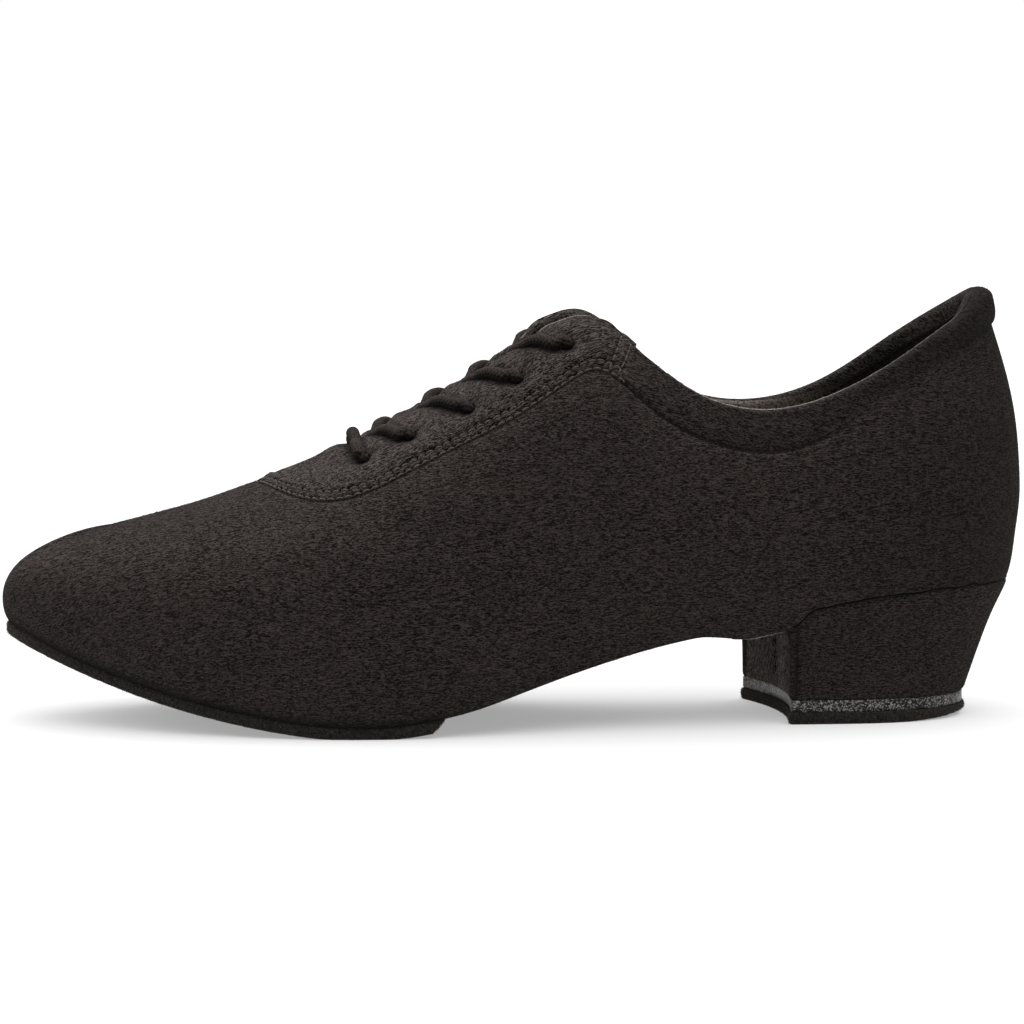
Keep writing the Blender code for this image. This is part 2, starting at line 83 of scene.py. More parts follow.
# %% Lines of the last
LATERAL, MEDIAL = -1, 1
LENGTH, MIDDLE = 257.0, 130.0
HEEL_ROUND, TOE_ROUND = 34.0, 46.0    # mm over which the ends are rounded in plan
HEEL_POWER, TOE_POWER = 2.3, 2.0      # how square they are, 2 is an ellipse
CENTRE_SHIFT = 0.5           # mm that centres the shoe's box
GAP, WALL = 0.3, 2.0         # mm between pieces, and of the upper with its lining
ARC = 0.5523                 # handle of a curve that rounds a quarter circle
WALL_PULL = 0.6              # how much the wall's height lengthens the handle at the opening
UP = np.array((0.0, 0.0, 1.0))
LAST_COLUMNS = ("station", "bottom", "sweep", "edge_lateral", "edge_medial",
                "wide_height", "wide_lateral", "wide_medial")
LAST_ROWS = (
    (0.0, 33.9, 0.0, 25.0, 25.0, 55.0, 29.0, 29.0),
    (22.0, 33.2, 0.0, 25.5, 25.0, 53.0, 29.5, 29.0),
    (45.0, 30.6, 0.0, 26.0, 24.5, 50.5, 30.0, 29.0),
    (70.0, 25.6, 0.0, 26.5, 22.5, 46.5, 31.0, 28.5),
    (95.0, 20.4, 0.0, 28.0, 21.0, 41.0, 33.0, 29.0),
    (120.0, 13.2, 0.0, 32.0, 23.0, 33.0, 36.5, 31.5),
    (145.0, 5.4, 0.2, 37.0, 28.5, 24.5, 41.0, 35.5),
    (168.0, 2.7, 0.6, 38.5, 34.0, 20.0, 42.5, 39.0),
    (190.0, 4.6, 1.4, 36.0, 35.5, 20.0, 40.0, 39.5),
    (212.0, 9.2, 2.6, 30.5, 31.5, 22.5, 34.5, 35.5),
    (235.0, 16.4, 4.2, 24.5, 25.5, 27.0, 28.5, 29.5),
    (257.0, 25.6, 5.4, 21.0, 22.0, 32.0, 24.0, 25.0),
)
OPENING_COLUMNS = ("station", "half", "height", "lean", "drop", "dip")
OPENING_ROWS = (
    (9.5, 15.0, 108.6, 10.0, 9.5, 0.0),
    (27.0, 19.0, 98.2, 10.0, 9.5, 1.5),
    (45.0, 22.0, 87.2, 13.0, 9.4, 2.6),
    (65.0, 22.8, 79.6, 15.0, 10.8, 0.6),
    (82.0, 21.8, 82.0, 22.0, 11.4, 0.0),
    (97.0, 17.5, 92.6, 36.0, 13.8, 0.0),
    (104.0, 14.2, 99.2, 46.0, 14.0, 0.0),
    (110.0, 11.6, 102.2, 54.0, 13.4, 0.0),
    (118.0, 9.4, 100.6, 60.0, 15.0, 0.0),
    (134.0, 7.6, 90.4, 64.0, 15.4, 0.0),
    (150.0, 6.8, 80.7, 67.0, 15.0, 0.0),
    (166.0, 5.6, 71.9, 72.0, 14.2, 0.0),
    (180.0, 3.2, 64.8, 80.0, 6.4, 0.0),
    (186.0, 1.4, 62.3, 85.0, 2.7, 0.0),
    (190.0, 0.0, 60.8, 90.0, 0.8, 0.0),
    (194.0, 0.0, 59.4, 90.0, 0.0, 0.0),
    (208.0, 0.0, 54.7, 90.0, 0.0, 0.0),
    (228.0, 0.0, 49.3, 90.0, 0.0, 0.0),
)
RAIL_ENDS = {"edge": (3.4, 253.5), "wide": (0.0, LENGTH), "top": (9.5, 228.0), "spine": (30.0, 226.0)}
BAND_END = 105.0             # station where the collar band meets the facing
THROAT_FRONT, FACING_FRONT = 190.0, 194.0
LAST = dict(zip(LAST_COLUMNS, np.array(LAST_ROWS).T))
OPENING = dict(zip(OPENING_COLUMNS, np.array(OPENING_ROWS).T))


def spline(table, column, station):
    """Natural cubic curve through a table's column, held at its end values."""
    xs, ys = table[next(iter(table))], table[column]
    steps = np.diff(xs)
    count = len(xs)
    matrix, right_side = np.eye(count), np.zeros(count)
    for i in range(1, count - 1):
        matrix[i, i - 1:i + 2] = steps[i - 1], 2 * (steps[i - 1] + steps[i]), steps[i]
        right_side[i] = 6 * ((ys[i + 1] - ys[i]) / steps[i] - (ys[i] - ys[i - 1]) / steps[i - 1])
    bend = np.linalg.solve(matrix, right_side)
    x = np.clip(np.asarray(station, float), xs[0], xs[-1])
    k = np.clip(np.searchsorted(xs, x) - 1, 0, count - 2)
    h, before, after = steps[k], x - xs[k], xs[k + 1] - x
    cubic = (bend[k] * after**3 + bend[k + 1] * before**3) / (6 * h)
    straight = (ys[k] / h - bend[k] * h / 6) * after + (ys[k + 1] / h - bend[k + 1] * h / 6) * before
    return cubic + straight


def rounded(share, power):
    """Rise from 0 to 1 like the end of a superellipse."""
    share = np.clip(share, 0, 1)
    return (1 - (1 - share) ** power) ** (1 / power)


def smooth(share):
    share = np.clip(share, 0, 1)
    return share * share * (3 - 2 * share)


def station_on(rail, base):
    """Real station of a line of the last where the net's column is at this base station."""
    back, tip = RAIL_ENDS[rail]
    rear = back + (MIDDLE - back) * base / MIDDLE
    front = MIDDLE + (tip - MIDDLE) * (base - MIDDLE) / (LENGTH - MIDDLE)
    return np.where(base < MIDDLE, rear, front)


def base_at(rail, station):
    """Base station of the column that meets a line of the last at this real station."""
    back, tip = RAIL_ENDS[rail]
    if station < MIDDLE:
        return (station - back) * MIDDLE / (MIDDLE - back)
    return MIDDLE + (station - MIDDLE) * (LENGTH - MIDDLE) / (tip - MIDDLE)


def end_rounding(base):
    return rounded(base / HEEL_ROUND, HEEL_POWER) * rounded((LENGTH - base) / TOE_ROUND, TOE_POWER)


def bottom_height(station):
    return spline(LAST, "bottom", station)


def line_of(rail, base, side, grow=0.0):
    """Points of the bottom's edge or of the widest line, moved outwards or, if negative, inwards."""
    name = "lateral" if side == LATERAL else "medial"
    half = (spline(LAST, rail + "_" + name, base) + grow) * end_rounding(base)
    station = station_on(rail, base) + grow * (2 * base / LENGTH - 1)
    height = bottom_height(station) if rail == "edge" else spline(LAST, "wide_height", base)
    return np.stack([station, spline(LAST, "sweep", station) + side * half, height], -1)


def top_height(station, side):
    """Height of the opening's edge, which dips on the inner side beside the heel."""
    dip = spline(OPENING, "dip", station) if side == MEDIAL else 0
    return spline(OPENING, "height", station) - np.where(station < BAND_END, dip, 0)


def top_line(base, side):
    """Points of the opening's edge, and of the closed ridge in front of it."""
    station = station_on("top", base)
    half = np.maximum(spline(OPENING, "half", station), 0) * rounded(base / HEEL_ROUND, HEEL_POWER)
    half = np.where(station >= THROAT_FRONT, 0, half)
    return np.stack([station, spline(LAST, "sweep", station) + side * half, top_height(station, side)], -1)


def spine_line(base):
    """Middle of the bottom, towards which its edges are turned in."""
    station = station_on("spine", base)
    across = (line_of("edge", base, LATERAL) + line_of("edge", base, MEDIAL))[..., 1] / 2
    return np.stack([station, across, bottom_height(station)], -1)


def bezier(handles, share):
    a, b, c, d = handles
    rest = 1 - share
    return rest**3 * a + 3 * share * rest**2 * b + 3 * share**2 * rest * c + share**3 * d


def wall_handles(base, side):
    """Handles of the wall's two curves in each column: edge to widest line, widest line to opening."""
    edge, wide, top = line_of("edge", base, side), line_of("wide", base, side), top_line(base, side)
    out = (wide - edge) * (1, 1, 0)
    low = (edge, edge + out * ARC, wide - UP * ARC * (wide - edge)[..., 2:], wide)
    inward = (top - wide) * (1, 1, 0)
    reach = np.linalg.norm(inward, axis=-1, keepdims=True)
    inward = inward / np.maximum(reach, 1e-6)
    station = station_on("top", base)
    slope = top_height(station + 0.5, side) - top_height(station - 0.5, side)
    lean = np.radians(spline(OPENING, "lean", station))[..., None]
    rise = (top - wide)[..., 2:]
    climb = UP * inward[..., :1] * slope[..., None]
    tangent = np.sin(lean) * (inward + climb) + np.cos(lean) * UP
    pull = ARC * (reach * np.sin(lean) + WALL_PULL * rise * np.cos(lean))
    high = (wide, wide + UP * ARC * rise, top - tangent * pull, top)
    return low, high


def seam_share(base, side):
    """Share of the way up the wall's upper curve at which the trims' seam runs."""
    handles = wall_handles(base, side)[1]
    station = station_on("top", base)
    drop = np.where(station >= FACING_FRONT, 0, np.maximum(spline(OPENING, "drop", station), 0))
    shares = np.linspace(0, 1, 81)
    heights = np.maximum.accumulate(np.stack([bezier(handles, share)[..., 2] for share in shares]), axis=0)
    found = np.array([np.interp(heights[-1, i] - drop[i], heights[:, i], shares) for i in range(len(base))])
    return np.where(drop <= 0, 1.0, found)


def trim_row(base, side, share):
    """Points of the wall between the trims' seam (share 0) and the opening's edge (share 1)."""
    seam = seam_share(base, side)[:, None]
    return bezier(wall_handles(base, side)[1], seam + (1 - seam) * np.reshape(share, (-1, 1)))


def placed(points):
    """Shoe millimetres to the frame's axes, still in millimetres."""
    station, across, height = np.moveaxis(np.asarray(points, float), -1, 0)
    return np.stack([LENGTH / 2 - station, across + CENTRE_SHIFT, height], -1)


ball = sum(spline(LAST, "wide_" + side, 168.0) for side in ("lateral", "medial"))
print("last", LENGTH, "mm long, widest line", round(float(ball), 1), "mm across at the ball")

# %% [markdown]
# ## Nets and meshes
# Each skin is a net: rows of points up the wall, columns along the shoe. A few helpers join points that fall
# together, make the faces, and find the way out of the surface, along which thickness and creases are added.

# %% Net helpers
WELD = 0.001           # mm
SIDE_TONE, TOP_PAINTED_LIGHT = 0.32, 0.24    # lightness of the nap on upright faces, and the painted light that faces which look up add
TOP_START, TOP_BLEND = 0.2, 0.7     # upward part of the normal from which that grows, and over how much
HEEL_SHARES = (0.68, 0.7)           # shares of the heel's rounding where its close columns end and the even ones start
END_ROOM = 0.2                      # mm that columns keep from a net's ends


def net_faces(rows, columns, around=False, along=False):
    """Quads of a net. around joins its last column to the first, along its last row to the first."""
    r = np.arange(rows if along else rows - 1)
    c = np.arange(columns if around else columns - 1)
    r0, c0 = np.meshgrid(r, c, indexing="ij")
    r1, c1 = (r0 + 1) % rows, (c0 + 1) % columns
    corners = (r0 * columns + c0, r1 * columns + c0, r1 * columns + c1, r0 * columns + c1)
    return np.stack(corners, -1).reshape(-1, 4)


def loop_faces(rows, columns):
    """Faces of a closed section drawn along a line, with both its ends shut."""
    ends = np.arange(rows) * columns
    return [*net_faces(rows, columns, along=True).tolist(), ends.tolist(), (ends + columns - 1)[::-1].tolist()]


def welded(points, faces):
    """Joins points that coincide, and drops faces that close up or lie back to back."""
    keys = np.round(points / WELD).astype(np.int64)
    _, first, index = np.unique(keys, axis=0, return_index=True, return_inverse=True)
    index = index.reshape(-1)
    kept, seen = {}, set()
    for face in faces:
        corners = list(dict.fromkeys(index[list(face)].tolist()))
        key = tuple(sorted(corners))
        if len(corners) < 3 or key in seen:
            kept.pop(key, None)
            continue
        seen.add(key)
        kept[key] = corners
    return first, index, list(kept.values())


def normals_of(points, faces):
    quads = np.array([face if len(face) == 4 else (*face, face[-1]) for face in faces])
    a, b, c, d = (points[quads[:, i]] for i in range(4))
    area = np.cross(c - a, d - b)
    normals = np.zeros_like(points)
    for i in range(4):
        np.add.at(normals, quads[:, i], area)
    return normals / np.maximum(np.linalg.norm(normals, axis=1, keepdims=True), 1e-12)


def net_normals(net, around=False):
    """The way out of the surface at each point of a net."""
    rows, columns = net.shape[:2]
    flat = net.reshape(-1, 3)
    first, index, faces = welded(flat, net_faces(rows, columns, around))
    return normals_of(flat[first], faces)[index].reshape(net.shape)


def new_object(name, points, edges=(), faces=(), **stored):
    """An object made of points in millimetres, with values or ways stored on them."""
    mesh = bpy.data.meshes.new(name)
    mesh.from_pydata((np.asarray(points) * MM).tolist(), edges, [list(map(int, face)) for face in faces])
    for title, values in stored.items():
        values = np.float32(values).ravel()
        kind, field = ("FLOAT", "value") if len(values) == len(mesh.vertices) else ("FLOAT_VECTOR", "vector")
        mesh.attributes.new(title, kind, "POINT").data.foreach_set(field, values)
    made = bpy.data.objects.new(name, mesh)
    bpy.context.scene.collection.objects.link(made)
    return made


def add_piece(name, points, faces, materials, indices=None, tone=1.0, **stored):
    """A smooth piece with its materials. One that stores a nap stores its lightness too, with painted light where it
    looks up.
    """
    made = new_object(name, points, (), faces, **stored)
    mesh = made.data
    if "nap" in stored:
        normals = np.empty(len(mesh.vertices) * 3, np.float32)
        mesh.vertex_normals.foreach_get("vector", normals)
        # painted light: the faces that look up are drawn lighter
        light = (SIDE_TONE + TOP_PAINTED_LIGHT * smooth((normals[2::3] - TOP_START) / TOP_BLEND)) * tone
        mesh.attributes.new("tone", "FLOAT", "POINT").data.foreach_set("value", np.float32(light))
    for material in materials:
        mesh.materials.append(material)
    if indices is not None:
        mesh.polygons.foreach_set("material_index", np.asarray(indices, np.int32))
    mesh.shade_smooth()
    return made


def triangles(made):
    return sum(len(face.vertices) - 2 for face in made.data.polygons)


def join_sides(lateral, medial):
    """Two sides' rows as one ring, from the heel to the toe and back."""
    return np.concatenate([lateral, medial[:, -2:0:-1]], axis=1)


def columns_between(start, end, heel_steps, middle_steps, toe_steps):
    """Base stations of a net's columns, closer together at the rounded ends."""
    heel = HEEL_ROUND * (1 - np.cos(np.linspace(0, math.pi / 2, heel_steps + 1)) ** (2 / HEEL_POWER))
    heel = heel[heel < HEEL_SHARES[0] * HEEL_ROUND]
    toe = LENGTH - TOE_ROUND * (1 - np.cos(np.linspace(0, math.pi / 2, toe_steps + 1)) ** (2 / TOE_POWER))
    middle = np.linspace(HEEL_SHARES[1] * HEEL_ROUND, LENGTH - TOE_ROUND, middle_steps + 1)
    base = np.unique(np.concatenate([heel, middle, toe]))
    return np.concatenate([[start], base[(base > start + END_ROOM) & (base < end - END_ROOM)], [end]])


# %% [markdown]
# ## The nap's direction
# Brushed fabric shows short streaks because its fibres lie down one way. Along the shoe they run level, they
# climb a little over the toe, and they go round the nose and the heel. Each point stores where it lies along and
# across the nap, in millimetres, so one material can draw the streaks on every piece.

# %% Nap coordinates
NAP_CLIMB = 0.62       # slope of the streaks at the very toe
NAP_LEVEL = -62.0      # mm, behind this the streaks run level
NAP_DRIFT = 0.1        # how fast the pattern changes across the shoe, so that its two sides differ


def travelled(points):
    """Length along a line, or along each column of a net, from its start to each point."""
    steps = np.linalg.norm(np.diff(points, axis=0), axis=-1)
    return np.concatenate([np.zeros_like(steps[:1]), np.cumsum(steps, axis=0)])


dense_base = np.linspace(0, LENGTH, 600)
girth = {side: travelled(line_of("wide", dense_base, side)[:, :2]) for side in (LATERAL, MEDIAL)}
girth[MEDIAL] *= girth[LATERAL][-1] / girth[MEDIAL][-1]


def nap_at(net, base, side, start=0, turn=0.0, crest=None):
    """Along and across the nap for a net whose columns have these base stations and sides. Its start row is at its
    own height, and past a crest the nap runs down again."""
    climbed = travelled(net)
    if crest is not None:
        climbed[crest + 1:] = 2 * climbed[crest] - climbed[crest + 1:]
    along = np.where(side == LATERAL, *(np.interp(base, dense_base, girth[each]) for each in (LATERAL, MEDIAL)))
    ahead = np.maximum(NAP_LEVEL - net[..., 0], 0) / (LENGTH / 2 + NAP_LEVEL)
    climb = NAP_CLIMB * ahead**2 * (LENGTH / 2 + NAP_LEVEL) / 2
    up = net[start, :, 2] + climbed - climbed[start] + climb
    c, s = math.cos(turn), math.sin(turn)
    return np.stack([along * c - up * s, net[..., 1] * NAP_DRIFT, along * s + up * c], -1)


print("girth of the widest line", round(2 * float(girth[LATERAL][-1])), "mm")

# %% [markdown]
# ## Materials
# One small function adds a node with its settings and links, and a few more name what is used again and again: a sum,
# a change of range, a mix of two colours, a noise. Colours are sRGB hex values, turned to linear by one function.

# %% Material helpers


def linear(hex_colour):
    values = [int(hex_colour[i:i + 2], 16) / 255 for i in (1, 3, 5)]
    return tuple(v / 12.92 if v <= 0.04045 else ((v + 0.055) / 1.055) ** 2.4 for v in values) + (1.0,)


def add_node(tree, kind, inputs=(), **settings):
    """A node with its settings, and its inputs linked or set."""
    made = tree.nodes.new(kind)
    for name, value in settings.items():
        setattr(made, name, value)
    for socket, value in dict(inputs).items():
        if isinstance(value, bpy.types.NodeSocket):
            tree.links.new(value, made.inputs[socket])
        else:
            made.inputs[socket].default_value = value
    return made


def maths(tree, operation, *values, **settings):
    return add_node(tree, "ShaderNodeMath", enumerate(values), operation=operation, **settings).outputs[0]


def ranged(tree, value, source=(0.0, 1.0), target=(0.0, 1.0)):
    """A value moved from one range to another."""
    return add_node(tree, "ShaderNodeMapRange", {
        "Value": value, "From Min": source[0], "From Max": source[1],
        "To Min": target[0], "To Max": target[1]}).outputs[0]


def tinted(tree, share, *ends):
    """A mix of two colours, each a hex value or another node's colour."""
    dark, light = (linear(end) if isinstance(end, str) else end for end in ends)
    return add_node(tree, "ShaderNodeMix", {0: share, 6: dark, 7: light}, data_type="RGBA").outputs[2]


def noise_on(tree, place, scale, detail, roughness, distortion):
    """A noise on coordinates that are stretched first."""
    spread = add_node(tree, "ShaderNodeMapping", {"Vector": place, "Scale": scale}).outputs[0]
    return add_node(tree, "ShaderNodeTexNoise", {
        "Vector": spread, "Scale": 1.0, "Detail": detail, "Roughness": roughness, "Distortion": distortion}).outputs[0]


def stored(tree, name, output="Fac"):
    return add_node(tree, "ShaderNodeAttribute", attribute_name=name).outputs[output]


def lifted(tree, strength, distance, height):
    """Normals of a surface that a pattern lifts, by a distance in millimetres."""
    return add_node(tree, "ShaderNodeBump", {
        "Strength": strength, "Distance": distance * MM, "Height": height}).outputs["Normal"]


def new_material(name):
    material = bpy.data.materials.new(name)
    material.use_nodes = True
    material.node_tree.nodes.clear()
    return material, material.node_tree


def finish_material(tree, inputs):
    shader = add_node(tree, "ShaderNodeBsdfPrincipled", inputs)
    add_node(tree, "ShaderNodeOutputMaterial", {"Surface": shader.outputs["BSDF"]})


# %% [markdown]
# ### Brushed microfibre
# The upper is a microfibre cloth whose face was brushed into a short dense pile. The pile drinks light: almost no
# gloss, a soft pale bloom where the surface turns away, and streaks where tufts of fibre lie together. The tufts
# are a stretched noise on the nap coordinates, and they shade the colour and lift the surface.

# %% Brushed microfibre
TUFT_LENGTH, TUFT_WIDTH = 1.3, 0.26        # mm
FIBRE_LENGTH, FIBRE_WIDTH = 0.5, 0.15      # mm, drawn coarser than the real fibre so that it shows
MOTTLE = 17.0                              # mm, soft patches left by brushing
TUFT_HEIGHT = 1.4                          # mm
FIBRE_SHARE, MOTTLE_SHARE = 0.75, 0.2      # how much each adds to the tufts' own pattern
PILE_RANGE = (0.81, 0.98)                  # pattern values that give the darkest and the lightest cloth
DEEP, BLOOM = "#080606", "#8a827e"         # cloth in no light, and the bloom of the pile's tips


def brushed_microfibre(name, dark, bright, bump=1.0):
    """Streaks between a dark and a light colour. The light one goes from deep to bright by the stored tone."""
    material, tree = new_material(name)
    nap = stored(tree, "nap", "Vector")

    def streaks(length, width, distortion):
        return noise_on(tree, nap, (1 / length, 1 / width, 1 / width), 1.0, 0.5, distortion)

    tufts, fibres = streaks(TUFT_LENGTH, TUFT_WIDTH, 0.9), streaks(FIBRE_LENGTH, FIBRE_WIDTH, 0.3)
    patches = maths(tree, "SUBTRACT", streaks(MOTTLE * 1.4, MOTTLE, 0.3), 0.5)
    pile = maths(tree, "MULTIPLY_ADD", fibres, FIBRE_SHARE, tufts)
    shade = maths(tree, "MULTIPLY_ADD", patches, MOTTLE_SHARE, ranged(tree, pile, PILE_RANGE), use_clamp=True)
    light = tinted(tree, stored(tree, "tone"), DEEP, bright)
    finish_material(tree, {
        "Base Color": tinted(tree, shade, dark, light), "Roughness": 0.95, "Specular IOR Level": 0.03, "IOR": 1.5,
        "Sheen Weight": 0.14, "Sheen Roughness": 0.4, "Sheen Tint": linear(BLOOM),
        "Normal": lifted(tree, bump, TUFT_HEIGHT, pile)})
    return material


MICROFIBRE = brushed_microfibre("brushed microfibre", "#050404", "#6e6460")
TRIM_FIBRE = brushed_microfibre("brushed microfibre trim", "#050404", "#706763", 0.9)
# the breast's copy of the cloth is drawn lighter: painted light on the poorly lit breast
BREAST_LIT_FIBRE = brushed_microfibre("brushed microfibre of the breast", "#0a0808", "#9a908a")
print("materials", MICROFIBRE.name, TRIM_FIBRE.name, BREAST_LIT_FIBRE.name)

# %% [markdown]
# ### Lining, cut edges and thread
# Inside, the shoe is lined with a thin dark tricot. Where the cloth is cut through, its paler middle shows as a thin
# fuzzy line. The thread is twisted polyester: smooth enough to catch a small light on each stitch.

# %% Lining, cut edge, thread
LINING_RIB, LINING_GRAIN = 0.9, 0.5    # mm between the tricot's ribs, and of its fuzz
FUZZ_GRAIN = 0.35          # mm
THREAD_PLY = 0.3           # mm between the plies of the twist


def speckled(name, dark, light, grain, roughness, bump, stretch=(1.0, 1.0, 1.0), fade=None, **shader):
    """A surface with a fine irregular grain, in Object coordinates. It may fade to dark by a stored value."""
    material, tree = new_material(name)
    place = add_node(tree, "ShaderNodeTexCoord").outputs["Object"]
    grains = noise_on(tree, place, tuple(s / (grain * MM) for s in stretch), 3.0, 0.6, 0.4)
    spots = ranged(tree, grains, (0.3, 0.7))
    if fade:
        spots = maths(tree, "MULTIPLY", spots, stored(tree, fade))
    finish_material(tree, {
        "Base Color": tinted(tree, spots, dark, light), "Roughness": roughness,
        "Normal": lifted(tree, bump, grain, grains), **shader})
    return material


DULL, GLOSS = {"Specular IOR Level": 0.04}, {"Specular IOR Level": 0.2}
LINING = speckled("tricot lining", "#241f1d", "#6b625d", LINING_RIB, 0.9, 0.4, (1.0, 1.0, 0.3), **DULL)
COLLAR_LINING = speckled("tricot lining of the collar", "#14100f", "#80766f", LINING_GRAIN, 0.9, 0.4, fade="pale",
                         **DULL)
CUT_EDGE = speckled("cut edge of the cloth", "#1c1816", "#b5aea8", FUZZ_GRAIN, 1.0, 0.6, fade="pale", **DULL)
THREAD = speckled("twisted polyester thread", "#0d0b0b", "#5f5752", THREAD_PLY, 0.45, 0.5, **GLOSS)
DARK_THREAD = speckled("black polyester thread", "#040303", "#1a1716", THREAD_PLY, 0.6, 0.5, **DULL)
print("grains", LINING_RIB, LINING_GRAIN, FUZZ_GRAIN, THREAD_PLY, "mm")

# %% [markdown]
# ## Upper
# The upper is one cloth pulled over the last and turned under at the waist. A net four times as fine as the
# solid's follows the same lines. Soft folds stand on its sides, where the cloth hangs between the lacing and the
# ball: each is a line in the shoe's own sizes, along which the net is pressed in or lifted. The seams of the trims
# draw the cloth in, so it dips beside them.

# %% Fold lines and the upper's net
MARGIN = 9.0                 # mm of cloth turned under where a sole covers it
WAIST, WAIST_BLEND = (22.0, 172.0), 8.0     # base stations where the cloth closes under the foot, and how fast
UNDER_ROWS, LOW_ROWS, SIDE_ROWS, TRIM_ROWS = 8, 14, 46, 6
WIDEST_ROW = UNDER_ROWS + LOW_ROWS
SEAM_CROWD = 1.5             # rows stand closer together towards the trims' seam
ROLL_TUCK = 1.3              # mm of the upper's top that is hidden in the rolled collar
WAVE, WAVE_LENGTH = 0.14, 17.0      # mm
SEAM_DRAW, SEAM_REACH = 0.34, 1.0   # mm that a seam draws the cloth in, and how far from it
EDGE_SINK = 1.5              # mm that the lace pulls the throat's outer edge down
FAR_SINK = (0.2, 2.6)        # mm that it pulls the inner edge down, at the top and further ahead
FAR_START, FAR_BLEND = 122.0, 14.0    # station where the second starts to take over, and mm it takes
SAG = 2.5                    # mm that the collar sags beside the heel on the outer side, where it is stepped into
SAG_SPAN, SAG_BLENDS = (9.5, 80.0), (10.0, 50.0)    # stations, and mm over which it starts and ends
LIP, LIP_REACH = 3.2, 9.0    # mm that the cloth is drawn down over the heel's breast, and how far up it thins out
LIP_SPAN, LIP_BLENDS = (56.0, 86.0), (5.0, 16.0)    # stations, and mm over which it starts and ends
TOE_SLIM, TOE_START = 0.9, 232.0    # mm the cloth is pulled tighter over the toe's tip, and from which station
BACK_FULL = 0.8              # mm that the stiffener fills the back
BACK_SHADE = 0.36             # share of painted shade on the nap round the back
JOINT_SHADE, JOINT_REACH = 0.85, 1.7     # painted shade right above the sole, in the crease of the joint, and mm it reaches up
JOINT_START = 140.0          # station
CREASE_SHADE, CREASE_REACH = 0.8, 0.35   # painted shade in the crease along the trims' seam, and mm it reaches down
# side, from (station, height) to (station, height), width, depth; a fold with a negative depth stands out
FOLDS = (
    (LATERAL, (169.0, 52.5), (133.0, 48.0), 5.5, 0.60),
    (LATERAL, (130.0, 38.0), (113.0, 60.0), 5.0, -0.50),
    (LATERAL, (110.0, 41.0), (100.0, 59.0), 5.5, 0.50),
    (MEDIAL, (166.0, 49.0), (136.0, 46.0), 5.5, 0.50),
    (MEDIAL, (126.0, 36.0), (112.0, 55.0), 5.0, -0.40),
)


def bell(distance, width):
    """1 where the distance is 0, falling smoothly to 0 away from it."""
    return np.exp(-(distance / width) ** 2)


def window(value, ends, blends):
    """1 between two ends, blending to 0 at each."""
    return smooth((value - ends[0]) / blends[0]) * smooth((ends[1] - value) / blends[1])


def between(ends, share):
    return ends[0] + (ends[1] - ends[0]) * share


def station_of(points):
    """Stations of placed points."""
    return LENGTH / 2 - points[..., 0]


def trim_length(base, side):
    """Length of the wall between the trims' seam and the opening's edge."""
    return travelled([trim_row(base, side, share) for share in np.linspace(0, 1, 13)])[-1]


def roll_sag(station, side):
    """How far the collar's edge sags at a station."""
    return SAG * window(station, SAG_SPAN, SAG_BLENDS) * (side == LATERAL)


def edge_sink(station, lateral):
    """How far the lace pulls the throat's edge down at a station."""
    return np.where(lateral, EDGE_SINK, between(FAR_SINK, smooth((station - FAR_START) / FAR_BLEND)))


def upper_rows(base, side):
    """Rows of the outer face, from the middle of the bottom up to the opening."""
    low, high = wall_handles(base, side)
    edge, spine = low[0], spine_line(base)
    span = np.linalg.norm((spine - edge)[..., :2], axis=-1)
    closing = window(base, WAIST, (WAIST_BLEND, WAIST_BLEND))
    turned = np.minimum(MARGIN / np.maximum(span, MARGIN), 1)
    turned = (turned + (1 - turned) * closing)[:, None]
    rows = []
    for share in np.linspace(1, 0, UNDER_ROWS + 1)[:-1]:
        row = edge + (spine - edge) * turned * share
        row[:, 2] = bottom_height(row[:, 0])
        rows.append(row)
    rows += [bezier(low, share) for share in np.linspace(0, 1, LOW_ROWS + 1)]
    seam = seam_share(base, side)[:, None]
    rows += [bezier(high, seam * share) for share in 1 - np.linspace(1, 0, SIDE_ROWS + 1)[1:] ** SEAM_CROWD]
    station = station_on("top", base)
    tucked = ROLL_TUCK * smooth((BAND_END - station) / 4) + roll_sag(station, side)
    top = 1 - (1 - seam) * (tucked / np.maximum(trim_length(base, side), 3))[:, None]
    rows += [bezier(high, seam + (top - seam) * share) for share in np.linspace(0, 1, TRIM_ROWS + 1)[1:]]
    return np.array(rows)


def folded(points, side_of):
    """How far the folds and the cloth's own unevenness move placed points out of the surface."""
    station, height = station_of(points), points[:, 2]
    moved = np.array([WAVE * noise.noise(Vector(p) / WAVE_LENGTH) for p in points])
    for side, start, end, width, depth in FOLDS:
        line = np.subtract(end, start)
        there = np.stack([station - start[0], height - start[1]], -1)
        share = np.clip(there @ line / (line @ line), 0, 1)
        away = np.linalg.norm(there - share[:, None] * line, axis=1)
        taper = np.sin(math.pi * (0.12 + 0.76 * share))
        moved -= np.where(side_of == side, depth * taper * bell(away, width), 0)
    return moved


def combed(net, nap):
    """The way the fibres lie at each point of a net: along the nap, level with it."""
    along, across = np.gradient(net, axis=1), np.gradient(net, axis=0)
    level = nap[..., 2]
    way = along * np.gradient(level, axis=0)[..., None] - across * np.gradient(level, axis=1)[..., None]
    way *= np.where(way[..., :1] < 0, -1, 1)
    return way / np.maximum(np.linalg.norm(way, axis=-1, keepdims=True), 1e-9)


